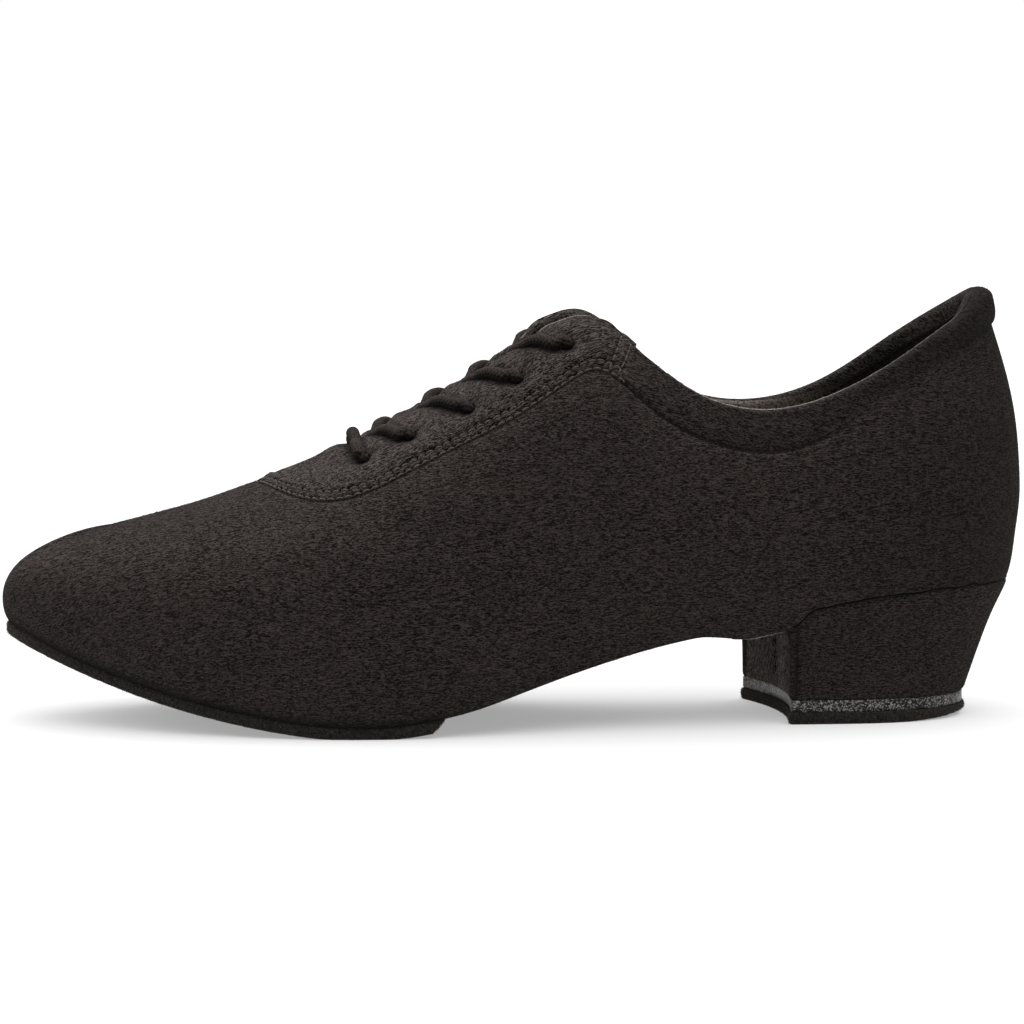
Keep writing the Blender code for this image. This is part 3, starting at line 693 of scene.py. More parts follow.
upper_base = columns_between(0.0, LENGTH, 40, 140, 48)
upper_net = placed(join_sides(upper_rows(upper_base, LATERAL), upper_rows(upper_base, MEDIAL)))
rows, columns = upper_net.shape[:2]
upper_side = np.where(np.arange(columns) < len(upper_base), LATERAL, MEDIAL)
upper_at = station_of(upper_net)
above_edge = smooth((upper_net[..., 2] - bottom_height(upper_at)) / LIP_REACH)
upper_net[..., 2] -= LIP * window(upper_at, LIP_SPAN, LIP_BLENDS) * (1 - above_edge)
upper_nap = nap_at(upper_net, np.concatenate([upper_base, upper_base[-2:0:-1]]), upper_side, WIDEST_ROW)
upper_comb = combed(upper_net, upper_nap)
print("upper's net", rows, "by", columns)

# %% [markdown]
# Now the net is moved in and out along its normals, and shade is painted on its nap: in the crease beside the trims,
# right above the sole, and round the back.

# %% Upper's skin
SEAM_ENDS = (2.0, 2.0)       # mm of trim that a column needs before its seam draws the cloth, and mm until it is full
DRAW_START, CREASE_START = (38.0, 20.0), (44.0, 18.0)    # stations from which it does, and mm until it is full
THROAT_BLENDS = (6.0, 8.0)   # mm over which the throat's edge starts and ends to sink
BACK_LOOK, BACK_HEIGHT = (0.35, 0.5), (44.0, 14.0)    # how far back a face looks and how high it lies to be filled
TOE_HEIGHT, TOE_BLEND = (26.0, 12.0), 20.0            # mm, the same for the toe's slimmer top
JOINT_BLEND, BACK_FADE = 12.0, (64.0, 56.0)           # mm, and the station from which the painted shade grows towards the back

seam_row = WIDEST_ROW + SIDE_ROWS
to_seam = travelled(upper_net)
to_seam = to_seam - to_seam[seam_row]
trimmed = smooth((to_seam[-1] - SEAM_ENDS[0]) / SEAM_ENDS[1])
upper_station = station_of(upper_net[-1])
drawn = SEAM_DRAW * bell(to_seam, SEAM_REACH) * trimmed * smooth((upper_station - DRAW_START[0]) / DRAW_START[1])
crease_shade = CREASE_SHADE * bell(to_seam, CREASE_REACH) * trimmed
crease_shade = crease_shade * smooth((upper_station - CREASE_START[0]) / CREASE_START[1])
sunk = edge_sink(upper_station, upper_side == LATERAL) * smooth(to_seam / np.maximum(to_seam[-1], 3))
sunk = sunk * window(upper_station, (BAND_END, THROAT_FRONT), THROAT_BLENDS)
flat = upper_net.reshape(-1, 3)
first_upper, index, upper_faces = welded(flat, net_faces(rows, columns, around=True))
skin = flat[first_upper]
skin_out, skin_at, height = normals_of(skin, upper_faces), station_of(skin), skin[:, 2]
moved = folded(skin, np.tile(upper_side, rows)[first_upper]) - (drawn + sunk).ravel()[first_upper]
moved += BACK_FULL * (smooth((skin_out[:, 0] - BACK_LOOK[0]) / BACK_LOOK[1])
                      * smooth((height - BACK_HEIGHT[0]) / BACK_HEIGHT[1]))
moved -= TOE_SLIM * smooth((skin_at - TOE_START) / TOE_BLEND) * smooth((height - TOE_HEIGHT[0]) / TOE_HEIGHT[1])
# painted shade: right above the sole, round the back and in the crease beside the trims
joint_shade = bell(height - bottom_height(skin_at), JOINT_REACH) * smooth((skin_at - JOINT_START) / JOINT_BLEND)
skin_tone = (1 - BACK_SHADE * smooth((BACK_FADE[0] - skin_at) / BACK_FADE[1])) * (1 - JOINT_SHADE * joint_shade)
skin_tone = skin_tone * (1 - crease_shade.ravel()[first_upper])
skin = skin + skin_out * moved[:, None]
upper_skin, upper_out = skin[index].reshape(upper_net.shape), skin_out[index].reshape(upper_net.shape)
upper = add_piece("upper_cloth", skin, upper_faces, [MICROFIBRE, LINING, LINING], tone=skin_tone,
                  nap=upper_nap.reshape(-1, 3)[first_upper])
print("upper skin", triangles(upper), "triangles")

# %% [markdown]
# The cloth and its lining together are 2 mm thick. Solidify adds the inside and closes the rim: both take the
# lining.

# %% Upper's wall
def add_wall(made, thickness, inside=1, rim=2):
    wall = made.modifiers.new("wall", "SOLIDIFY")
    wall.thickness = thickness * MM
    wall.offset = -1.0
    wall.use_even_offset = True
    wall.material_offset, wall.material_offset_rim = inside, rim


add_wall(upper, WALL)
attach(upper, "root")
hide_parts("upper")

# %% [markdown]
# ## Collar band
# A padded band is sewn round the opening: it starts at a seam about a centimetre below the edge, rolls over the
# edge and ends inside. Its section is one closed loop, so the roll has real thickness. At the back of the heel the
# roll is fullest and the seam is lost in the cloth.

# %% Collar band
BAND_RISE, BAND_SWELL = 0.95, 5.5   # mm the band stands off the wall, and over how much it rises
BAND_START = 0.08            # mm it stands off the wall right at its seam
BAND_INSIDE = 0.45           # mm it stands off the lining
BACK_ROLL = (1.6, 2.6)       # mm that the roll is fuller at the back, outside and inside
BACK_REACH = 30.0            # station where that ends
ROLL_RISE, BACK_RISE = 1.5, 2.9     # mm from the roll's shoulder to its top, at the sides and at the back
BACK_BULGE = 0.5             # share of the band's height over which the back's roll swells out of its seam
INSIDE_DEPTH = 10.5          # mm from the top to the band's end inside
BURIED = 0.5                 # mm that hidden ends go into the wall
END_SLANT = 6.5              # mm that the seam with the facing leans back at the top
BAND_OVERLAP = 2.5           # mm that the band goes on under the facing
BAND_STITCH = 0.6            # mm from the seam to the row of stitches
SEAM_SHOWS = (38.0, 60.0)    # stations between which the seam comes out of the padded back
STITCH_GROOVE, GROOVE_WIDTH = 0.4, 0.5      # mm
SEAM_SHADE = (0.3, 0.28)                     # mm above the seam where the painted shade of its crease is darkest, and its width
STITCH, STITCH_STEP, THREAD_WIDTH = 1.75, 2.3, 0.4      # mm
NEEDLE, NEEDLE_DENT = 0.5, 0.65             # mm, reach and depth of the dent at each needle hole
OUT_ROWS, ROLL_ROWS, IN_ROWS = 40, 12, 12
LINED_ROW = 12               # row over the roll at which the lining starts
LINED_STEPS = (8.0, 15.0)    # how far over the roll and down inside that row lies, at the sides and at the back
STITCHED_STEP = 15.0         # the same for the lining's stitches
LINED_BACK = (70.0, 40.0)    # station from which it goes over to the second, and mm it takes
LINING_MARGIN = 0.7          # steps that the stitches keep from the lining's start
BAND_TONE, BAND_BACK_SHADE = 0.74, 0.4       # lightness of the band's nap, and the painted shade that takes from it towards the back
ROLL_PAINTED_LIGHT = 1.15             # its lightness where the roll turns in, raised as painted light
NEEDLE_SHADE = (0.8, 0.9)     # share of painted shade in the dents of the needle holes, on the band and on the facing
LINING_PALE = (0.03, 1.0)    # how much light reaches the lining, at the back and at the sides
TRIM_TURN = math.radians(-14)               # the band's cloth is cut at this angle to the upper's


def interpolated(goals, known, values):
    """Rows of values at some goals, between those at known places."""
    return np.stack([np.interp(goals, known, column) for column in np.transpose(values)], -1)


def needle_spots(points):
    """Needle holes along a row of stitches: halfway between one stitch and the next."""
    length = travelled(points)
    count = int(length[-1] / STITCH_STEP)
    return interpolated((np.arange(count) + 0.5) / count * length[-1], length, points)


def lined_up(places):
    """A tree that finds the nearest of some places."""
    made = KDTree(len(places))
    for number, place in enumerate(places):
        made.insert(place, number)
    made.balance()
    return made


def closeness(points, spots, reach):
    """1 at the nearest of some spots, falling to 0 away from it."""
    places = lined_up(spots)
    away = np.array([places.find(point)[2] for point in points.reshape(-1, 3)])
    return bell(away, reach).reshape(points.shape[:-1])


def slanted(base, share):
    """Base stations of a row of the band, whose end leans back under the facing."""
    stretch = (base[-1] + BAND_OVERLAP - END_SLANT * share) / base[-1]
    near_end = smooth((base - base[-1] * 0.6) / (base[-1] * 0.4))
    return base * (1 + (stretch - 1) * near_end)


def both_trims(base, share):
    """Medial row from its end to the heel, then lateral row from the heel to its end."""
    return np.concatenate([trim_row(base, MEDIAL, share)[::-1], trim_row(base, LATERAL, share)[1:]])


band_base = columns_between(0.0, base_at("top", BAND_END), 50, 420, 10)
band_end = band_base[-1]
out_shares = np.linspace(0, 1, OUT_ROWS + 1) ** 1.4
band_net = placed([both_trims(slanted(band_base, share), share) for share in out_shares])
band_out = net_normals(band_net)
band_up = np.gradient(band_net, axis=0)
band_up /= np.maximum(np.linalg.norm(band_up, axis=-1, keepdims=True), 1e-9)
band_length = np.linalg.norm(np.diff(band_net, axis=0), axis=-1).sum(0)
band_column = np.concatenate([band_base[::-1], band_base[1:]])
band_side = np.concatenate([np.full(len(band_base), MEDIAL), np.full(len(band_base) - 1, LATERAL)])
band_station = station_of(band_net[-1])
fuller = 1 - smooth((band_station - 9.5) / (BACK_REACH - 9.5))
under_facing = smooth((station_on("top", band_column) - BAND_END + 9) / 6)
roll_rise = ROLL_RISE + (BACK_RISE - ROLL_RISE) * fuller
outside = BAND_RISE * (1 - 0.8 * under_facing) * (1 - 0.6 * fuller) + BACK_FULL * fuller
bulge = BACK_ROLL[0] * fuller**1.5
inside = -(WALL + BAND_INSIDE + BACK_ROLL[1] * fuller)
sag = np.where(band_side == LATERAL, roll_sag(band_station, LATERAL), 0)
shoulder = 1 - (roll_rise + sag) / band_length
seam_shows = smooth((band_station - SEAM_SHOWS[0]) / (SEAM_SHOWS[1] - SEAM_SHOWS[0]))
print("band's net", *band_net.shape[:2], "length over the wall up to", round(float(band_length.max()), 1), "mm")

# %% [markdown]
# The outer face swells from the seam to the roll's shoulder. A groove runs along its stitches, and each needle hole is
# a small dent.

# %% Band's outer face


def band_at(share, nets=(band_net, band_out, band_up)):
    """Points, outward ways and upward ways of the band's surface at one share per column, or another net's points."""
    spot = np.interp(np.clip(share, 0, 1), out_shares, np.arange(OUT_ROWS + 1))
    low = np.clip(np.floor(spot).astype(int), 0, OUT_ROWS - 1)
    part = (spot - low)[:, None]
    each = np.arange(band_net.shape[1])
    return [net[low, each] * (1 - part) + net[low + 1, each] * part for net in nets]


def band_face(dents):
    """Rows of the outer face, from the seam to the roll's shoulder, each pressed in where there are dents."""
    made = []
    for share, dent in zip(out_shares, dents):
        point, out, _ = band_at(shoulder * share)
        height = shoulder * share * band_length
        start = BAND_START * seam_shows + (BACK_FULL * fuller - 0.1) * (1 - seam_shows)
        rise = start + (outside - start) * smooth(height / BAND_SWELL)
        rise = rise - STITCH_GROOVE * seam_shows * bell(height - BAND_STITCH, GROOVE_WIDTH)
        swell = np.clip(share / BACK_BULGE, 0, 1)
        rise = rise + bulge * np.sqrt(1 - (1 - swell) ** 2) - dent
        made.append(point + out * rise[:, None])
    return np.array(made)


plain = band_face(np.zeros((OUT_ROWS + 1, 1)))
band_seam = band_at(BAND_STITCH / (shoulder * band_length), [plain])[0]
sewn = band_station > SEAM_SHOWS[0] + 4
band_needled = closeness(plain, needle_spots(band_seam[sewn & (band_side == LATERAL)]), NEEDLE)
band_needled += closeness(plain, needle_spots(band_seam[sewn & (band_side == MEDIAL)]), NEEDLE)
band_needled *= seam_shows
loop = [band_net[0] - band_out[0] * BURIED, *band_face(NEEDLE_DENT * band_needled)]
print("needle holes dent the band by", round(float(NEEDLE_DENT * band_needled.max()), 2), "mm")

# %% [markdown]
# From the shoulder the section goes over the roll and down inside. The lining starts at one row of the net, which lies
# further in at the back, and a row of stitches holds it.

# %% Roll and lining
middle, half = (outside + bulge + inside) / 2, (outside + bulge - inside) / 2


def roll_row(step):
    """Points at one step per column: up to ROLL_ROWS they go over the roll, then down inside."""
    turn = math.pi * np.minimum(step / ROLL_ROWS, 1)
    share = np.clip((step - ROLL_ROWS) / IN_ROWS, 0, 1)
    point, out, up = band_at(shoulder - (INSIDE_DEPTH - roll_rise) * share / band_length)
    across = np.where(step <= ROLL_ROWS, middle + half * np.cos(turn), inside * (1 - 0.25 * share**6))
    return point + out * across[:, None] + up * (roll_rise * np.sin(turn))[:, None]


last_step = ROLL_ROWS + IN_ROWS
lined_from = between(LINED_STEPS, smooth((LINED_BACK[0] - band_station) / LINED_BACK[1]))
for row in range(1, last_step + 1):
    ahead = max(row - LINED_ROW, 0) / (last_step - LINED_ROW)
    loop.append(roll_row(lined_from * min(row / LINED_ROW, 1) + (last_step - lined_from) * ahead))
lining_seam = roll_row(np.maximum(lined_from + LINING_MARGIN, STITCHED_STEP))
point, out, _ = band_at(shoulder - (INSIDE_DEPTH - roll_rise) / band_length)
loop.append(point - out * (WALL - BURIED))
band_loop = np.array(loop)
rows, columns = band_loop.shape[:2]
undented = band_loop.copy()
undented[1:OUT_ROWS + 2] = plain
band_nap = nap_at(undented, band_column, band_side, 1, TRIM_TURN, 1 + OUT_ROWS + LINED_ROW // 2)
band_comb = combed(band_loop, band_nap)
# painted shade in the seam's crease, in the needle holes and towards the back, and painted light over the roll
in_groove = seam_shows * bell(shoulder * out_shares[:, None] * band_length - SEAM_SHADE[0], SEAM_SHADE[1])
band_tone = np.ones((rows, 1)) * (BAND_TONE - BAND_BACK_SHADE * smooth((60 - band_station) / 45))
band_tone[1:OUT_ROWS + 2] *= (1 - in_groove) * (1 - NEEDLE_SHADE[0] * band_needled)
band_tone += (ROLL_PAINTED_LIGHT - band_tone) * smooth((np.arange(rows) - OUT_ROWS - 4) / 6)[:, None]
band_pale = np.ones((rows, 1)) * between(LINING_PALE, smooth((band_station - 36) / 32))
faces = loop_faces(rows, columns)
lined = np.arange(len(faces)) // (columns - 1) > OUT_ROWS + LINED_ROW
lined[-2:] = False
collar_band = add_piece("collar_roll", band_loop.reshape(-1, 3), faces, [TRIM_FIBRE, COLLAR_LINING], lined,
                        band_tone.ravel(), nap=band_nap, pale=band_pale)
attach(collar_band, "root")
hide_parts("collar_band")
print("collar band", triangles(collar_band), "triangles")

# %% [markdown]
# ## Lace route
# The lace lies as a straight bar over the lowest pair of holes, dives through them, runs back under each facing,
# comes up in the throat and goes over the other facing into the next hole, up to the top pair, where its ends stay
# inside. The route comes before the facing, because a tight lace presses its own bed into the soft cloth.

# %% Lace route
LACE = 2.9                   # mm
# station of each pair of holes, their place between the throat's edge and the seam, and how far ahead they cross
HOLE_ROWS = ((166.6, 0.48, 2.0), (155.2, 0.48, 8.5), (140.9, 0.55, 10.2), (128.8, 0.54, 10.9), (116.3, 0.49, 11.5))
LACE_LIFT = 1.35             # mm from the wall to the cord's middle where it lies in the facing
EDGE_LIFTS = (-0.9, 0.3)     # mm from the wall where it comes up over the flap's edge
OVER_STEPS = ((0.84, 0.08), (0.72, 0.155), (0.48, 0.29), (0.25, 0.44))   # share of the lead, of the facing's width
UNDER_SQUEEZE = 0.5          # the cord is pressed thin between facing and tongue
UNDER_LIFT = -(WALL + 0.9)   # mm
CROSS_LIFT = (-2.6, -4.2)    # mm of the upper and the lower strand in the throat
PER_SPAN = 8                 # points of the route between two of its spots


def wall_spot(station, side, share):
    """Placed point and outward way at a station, a share of the way from the throat's edge to the trims' seam."""
    def at(column, part):
        return trim_row(np.array([column]), side, 1 - part)[0]

    column = base_at("top", station)
    for _ in range(8):
        column += station - at(column, share)[0]
    along = placed(at(column + 0.5, share)) - placed(at(column - 0.5, share))
    upward = placed(at(column, share - 0.05)) - placed(at(column, share + 0.05))
    outward = np.cross(upward, along) * -side
    return placed(at(column, share)), outward / np.linalg.norm(outward)


def lace_spot(station, side, share, lift):
    point, outward = wall_spot(station, side, share)
    return point + outward * lift


def throat_middle(station, lift):
    base = np.array([base_at("top", station)])
    return placed((top_line(base, LATERAL) + top_line(base, MEDIAL))[0] / 2 + UP * lift)


def over_facing(row, side):
    """Points and thickness from the throat over the facing, into the hole and inside."""
    station, hole, lead = HOLE_ROWS[row]
    lifts = (*EDGE_LIFTS, LACE_LIFT - 0.1, LACE_LIFT)
    points = [lace_spot(station + lead * ahead, side, share, lift)
              for (ahead, share), lift in zip(OVER_STEPS, lifts)]
    points += [lace_spot(station + lead * 0.08, side, hole - 0.05, LACE_LIFT - 0.35),
               lace_spot(station, side, hole, 0.1), lace_spot(station, side, hole, -1.9)]
    return points, [1.0, 1.0, 1.0, 1.0, 1.0, 0.9, 0.7]


def strand(first_side):
    """Half of the lace, from its lowest hole up to its top one."""
    side, points, thickness = first_side, [], []
    for row in range(1, len(HOLE_ROWS)):
        here, ahead = HOLE_ROWS[row - 1][0], HOLE_ROWS[row][0] + HOLE_ROWS[row][2]
        points += [lace_spot(here, side, 0.45, UNDER_LIFT), lace_spot((here + ahead) / 2, side, 0.2, UNDER_LIFT)]
        over = (row % 2 == 0) == (first_side == LATERAL)
        points.append(throat_middle(ahead, CROSS_LIFT[0] if over else CROSS_LIFT[1]))
        thickness += [UNDER_SQUEEZE, UNDER_SQUEEZE + 0.15, 1.0]
        side = -side
        more, sizes = over_facing(row, side)
        points, thickness = points + more, thickness + sizes
    return points, thickness


def smooth_route(points, per_span):
    """Points along a smooth curve through the route."""
    points = np.asarray(points, float)
    padded = np.concatenate([[2 * points[0] - points[1]], points, [2 * points[-1] - points[-2]]])
    made = []
    for a, b, c, d in zip(padded, padded[1:], padded[2:], padded[3:]):
        for share in np.arange(per_span) / per_span:
            made.append(b + share * (c - a) / 2 + share**2 * (2 * a - 5 * b + 4 * c - d) / 2
                        + share**3 * (3 * b - a - 3 * c + d) / 2)
    return np.array(made + [points[-1]])


bars = [over_facing(0, side) for side in (LATERAL, MEDIAL)]
(left, left_sizes), (right, right_sizes) = strand(LATERAL), strand(MEDIAL)
bar_middle = throat_middle(HOLE_ROWS[0][0] + HOLE_ROWS[0][2], LACE_LIFT)
lace_points = left[::-1] + bars[0][0][::-1] + [bar_middle] + bars[1][0] + right
lace_sizes = left_sizes[::-1] + bars[0][1][::-1] + [1.0] + bars[1][1] + right_sizes
lace_line = smooth_route(lace_points, PER_SPAN)
lace_thick = np.interp(np.arange(len(lace_line)) / PER_SPAN, np.arange(len(lace_sizes)), lace_sizes)
lace_length = np.linalg.norm(np.diff(lace_line, axis=0), axis=1).sum()
lace_places = lined_up(lace_line)
print("lace route", round(float(lace_length)), "mm")

# %% [markdown]
# ## Eyestay facing
# A second layer of the cloth is sewn on round the lace holes. It lies thin at its seam and full in the middle, two
# rows of stitches press it down, each punched hole pulls the cloth in around it, and the lace lies in its bed.

# %% Eyestay facing
FACING_RISE = (0.14, 0.95)   # mm the facing stands off the wall at its seam and in its middle
FACING_SWELL = 6.0           # mm over which it rises
FACING_STITCH = (0.55, 2.8)  # mm from the seam to each row of stitches
END_STITCH = (1.2, 3.4)      # mm from the rear seam
END_RAMP = (1.2, 7.0)        # mm over which the rear end rises, at its seam and at the throat
EDGE_ROUND = 1.1             # mm of the rounded edge at the throat
EDGE_ROLL = 7.0              # mm over which the flap rolls down to its edge
WRAP, WRAP_INSIDE, WRAP_ROWS = 0.7, 0.3, 8    # mm the folded edge stands out round the wall's rim and inside it
OVER_BAND = 0.35             # mm that the facing climbs over the band's end
HOLE_RADIUS, HOLE_DEPTH = 1.5, 2.2
PUCKER, PUCKER_REACH = 0.35, 3.0
BED, BED_WIDTH = 0.75, 1.7   # share of the rise that the lace presses away, and how wide
PUFF, PUFF_PLACE, PUFF_WIDTH = 0.45, 4.5, 4.5 / 1.6    # mm that the cloth swells beside the lace, where, how wide
LACE_SHADOW, LACE_SHADOW_WIDTH = 0.9, 1.9     # share of painted shadow on the nap under the lace, and how far below it
FACING_PAINTED_LIGHT = 1.32           # painted light: the facing, which looks up, is drawn lighter than the upper
FACING_TURN = math.radians(22)        # and runs at this angle to it
FACING_COLUMNS, FACING_ROWS = 300, 60
END_ROWS = slice(9, FACING_ROWS - 8)  # rows that the rear seam's stitches cross

facing_base = np.linspace(band_end, base_at("top", FACING_FRONT), FACING_COLUMNS)
lean_back = 1 - smooth((facing_base - band_end) / 30)
facing_shares = np.linspace(0, 1, FACING_ROWS + 1)
facing_net = []
for share in facing_shares:
    base = facing_base - END_SLANT * share * lean_back
    facing_net.append(np.concatenate([trim_row(base, LATERAL, share), trim_row(base, MEDIAL, share)[-2::-1]]))
facing_net = placed(facing_net)
facing_out = net_normals(facing_net)
from_seam = travelled(facing_net)
from_edge = from_seam[-1] - from_seam
facing_column = np.concatenate([facing_base, facing_base[-2::-1]])
from_end = facing_column - band_end
open_throat = smooth((THROAT_FRONT - 1 - station_on("top", facing_column)) / 4)


def at_distance(skin, out, distances, goal):
    """Points of a skin at a distance from its seam in each column that is long enough, and the ways out there."""
    long = np.flatnonzero(distances[-1] > goal + 0.05)
    return [np.array([interpolated(goal, distances[:, c], net[:, c]) for c in long]) for net in (skin, out)]


# %% [markdown]
# The height of the cloth over the wall is one field on the net: the padding, the bed of the lace, the grooves of the
# stitches, the rolled edge and the punched holes each add to it or take from it.

# %% Facing's relief
rise = between(FACING_RISE, smooth(from_seam / FACING_SWELL))
found = [lace_places.find(spot) for spot in facing_net.reshape(-1, 3)]
to_lace = np.array([away for _, _, away in found]).reshape(from_seam.shape)
to_lace = np.maximum(to_lace - LACE_LIFT, 0)
lace_above = np.array([place[2] for place, _, _ in found]).reshape(from_seam.shape) - facing_net[..., 2]
# painted shadow of the lace on the facing
lace_shadow = LACE_SHADOW * bell(to_lace, LACE_SHADOW_WIDTH) * smooth((lace_above + 0.5) / 1.5)
rise = rise + PUFF * smooth(from_seam / FACING_SWELL) * bell(to_lace - PUFF_PLACE, PUFF_WIDTH)
rise = rise * (1 - BED * bell(to_lace, BED_WIDTH))
for place, distances in ((from_seam, FACING_STITCH), (from_end, END_STITCH)):
    for distance in distances:
        rise = rise - STITCH_GROOVE * bell(place - distance, GROOVE_WIDTH)
rise = rise + OVER_BAND * (1 - smooth(from_end / 8))
facing_side = np.arange(len(facing_column)) < len(facing_base)
edge_sunk = edge_sink(station_on("top", facing_column), facing_side) * open_throat * smooth(from_end / 6)
rise = rise - edge_sunk * (1 - smooth(from_edge / EDGE_ROLL)) ** 1.5
edge_share = np.clip(from_edge / EDGE_ROUND, 0, 1)
rise = rise - open_throat * (1 - np.sqrt(1 - (1 - edge_share) ** 2)) * 0.8
end_ramp = between(END_RAMP, smooth(facing_shares * 2 - 1))[:, None]
rise = rise * (0.2 + 0.8 * smooth(from_end / end_ramp))
for station, hole, _ in HOLE_ROWS:
    for side in (LATERAL, MEDIAL):
        centre, outward = wall_spot(station, side, hole)
        there = facing_net - centre
        radius = np.linalg.norm(there - (there @ outward)[..., None] * outward, axis=-1)
        near = np.linalg.norm(there, axis=-1) < 12
        rise = rise - near * (PUCKER * bell(radius, PUCKER_REACH)
                              + HOLE_DEPTH * smooth((HOLE_RADIUS + 0.3 - radius) / 0.6))
plain = facing_net + facing_out * rise[..., None]
facing_rows = [at_distance(plain, facing_out, from_seam, distance) for distance in FACING_STITCH]
for picked in (slice(0, FACING_COLUMNS), slice(None, FACING_COLUMNS - 2, -1)):
    for distance in END_STITCH:
        column = int(np.argmin(abs(facing_base - band_end - distance)))
        facing_rows.append((plain[END_ROWS, picked][:, column], facing_out[END_ROWS, picked][:, column]))
facing_needled = closeness(plain, np.concatenate([needle_spots(line) for line, _ in facing_rows]), NEEDLE)
rise = rise - NEEDLE_DENT * facing_needled
facing_skin = facing_net + facing_out * rise[..., None]
# painted light on the facing, painted shadow under the lace and painted shade in the needle holes
facing_tone = FACING_PAINTED_LIGHT * (1 - lace_shadow) * (1 - NEEDLE_SHADE[1] * facing_needled)
print("facing relief", round(float(rise.min()), 2), "to", round(float(rise.max()), 2), "mm")

# %% [markdown]
# At the throat the cloth is folded round the wall's rim, so the edge that shows across the throat is cloth too.

# %% Facing's folded edge and mesh
edge_up = facing_net[-1] - facing_net[-2]
edge_up /= np.maximum(np.linalg.norm(edge_up, axis=-1, keepdims=True), 1e-9)
edge_low = rise[-1] - BURIED - (rise[-1] - BURIED + WALL + edge_sunk + WRAP_INSIDE) * open_throat
wrap = []
for turn in np.linspace(0, math.pi, WRAP_ROWS + 1)[1:]:
    across = (rise[-1] + edge_low) / 2 + (rise[-1] - edge_low) / 2 * math.cos(turn)
    over = WRAP * open_throat * math.sin(turn)
    wrap.append(facing_net[-1] + facing_out[-1] * across[:, None] + edge_up * over[:, None])
loop = np.concatenate([(facing_net[0] - facing_out[0] * BURIED)[None], facing_skin, wrap])
undented = loop.copy()
undented[1:FACING_ROWS + 2] = facing_net
facing_nap = nap_at(undented, facing_column, np.where(facing_side, LATERAL, MEDIAL), 1, FACING_TURN)
facing_comb = combed(loop, facing_nap)
rows, columns = loop.shape[:2]
flat = loop.reshape(-1, 3)
first, _, faces = welded(flat, loop_faces(rows, columns))
tone = np.full((rows, columns), FACING_PAINTED_LIGHT)
tone[1:FACING_ROWS + 2] = facing_tone
eyestay = add_piece("eyestay_facing", flat[first], faces, [TRIM_FIBRE], tone=tone.ravel()[first],
                    nap=facing_nap.reshape(-1, 3)[first])
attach(eyestay, "root")
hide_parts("eyestay")
print("eyestay", triangles(eyestay), "triangles, front length", round(float(from_seam[-1].max()), 1), "mm")

# %% [markdown]
# ## Tongue
# The tongue lies under the facings and closes the throat. It follows the wall's own curve across the gap, a little
# lower than the lace that runs between.

# %% Tongue
TONGUE, TONGUE_ENDS = 2.2, (107.0, 192.0)
TONGUE_DROP = 1.2           # mm below the solid's face, pressed down by the lace
TONGUE_TAIL, TAIL_REACH = 2.6, 6.0    # mm that its rear end is rounded down, and over how much
THROAT_ROWS = 11


def throat_rows(base):
    """Rows that carry the wall's curve across the open throat."""
    lateral, medial = top_line(base, LATERAL), top_line(base, MEDIAL)
    lean = np.radians(spline(OPENING, "lean", station_on("top", base)))
    crown = (medial - lateral)[:, 1] / np.tan(lean) / 4
    rows = []
    for share in np.linspace(0, 1, THROAT_ROWS + 2)[1:-1]:
        row = lateral + (medial - lateral) * share
        row[:, 2] += crown * (1 - (2 * share - 1) ** 2)
        rows.append(row)
    return np.array(rows)


tongue_base = np.linspace(base_at("top", TONGUE_ENDS[0]), base_at("top", TONGUE_ENDS[1]), 90)
tongue_shares = np.linspace(0.1, 1, 16)
tongue_net = placed(np.concatenate([
    [trim_row(tongue_base, LATERAL, share) for share in tongue_shares], throat_rows(tongue_base),
    [trim_row(tongue_base, MEDIAL, share) for share in tongue_shares[::-1]]]))
tongue_out = net_normals(tongue_net)
tail = 1 - smooth((station_on("top", tongue_base) - TONGUE_ENDS[0]) / TAIL_REACH)
tongue_skin = tongue_net - tongue_out * (WALL + 2 * GAP + TONGUE_DROP + TONGUE_TAIL * tail)[:, None]
tongue_nap = nap_at(tongue_skin, tongue_base, LATERAL)
flat = tongue_skin.reshape(-1, 3)
first, _, faces = welded(flat, net_faces(*tongue_skin.shape[:2]))
tongue = add_piece("tongue_cloth", flat[first], faces, [TRIM_FIBRE, LINING, LINING],
                   nap=tongue_nap.reshape(-1, 3)[first])
add_wall(tongue, TONGUE)
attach(tongue, "root")
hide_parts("tongue")
print("tongue", triangles(tongue), "triangles")

# %% [markdown]
# ## Geometry Nodes helpers
# Repeated and swept things are grown by Geometry Nodes: a tree with named inputs runs on a path or a surface, and
# the result is kept as a plain mesh.

# %% Tree helpers
def new_tree(name, inputs):
    tree = bpy.data.node_groups.new(name, "GeometryNodeTree")
    tree.interface.new_socket("Geometry", in_out="INPUT", socket_type="NodeSocketGeometry")
    for title, (kind, value) in inputs.items():
        socket = tree.interface.new_socket(title, in_out="INPUT", socket_type="NodeSocket" + kind)
        if value is not None:
            socket.default_value = value
    tree.interface.new_socket("Geometry", in_out="OUTPUT", socket_type="NodeSocketGeometry")
    return tree, add_node(tree, "NodeGroupInput").outputs


def finish_tree(tree, geometry, material):
    real = add_node(tree, "GeometryNodeRealizeInstances", {"Geometry": geometry})
    painted = add_node(tree, "GeometryNodeSetMaterial", {"Geometry": real.outputs[0], "Material": material})
    shaded = add_node(tree, "GeometryNodeSetShadeSmooth", {0: painted.outputs[0]})
    add_node(tree, "NodeGroupOutput", {"Geometry": shaded.outputs[0]})


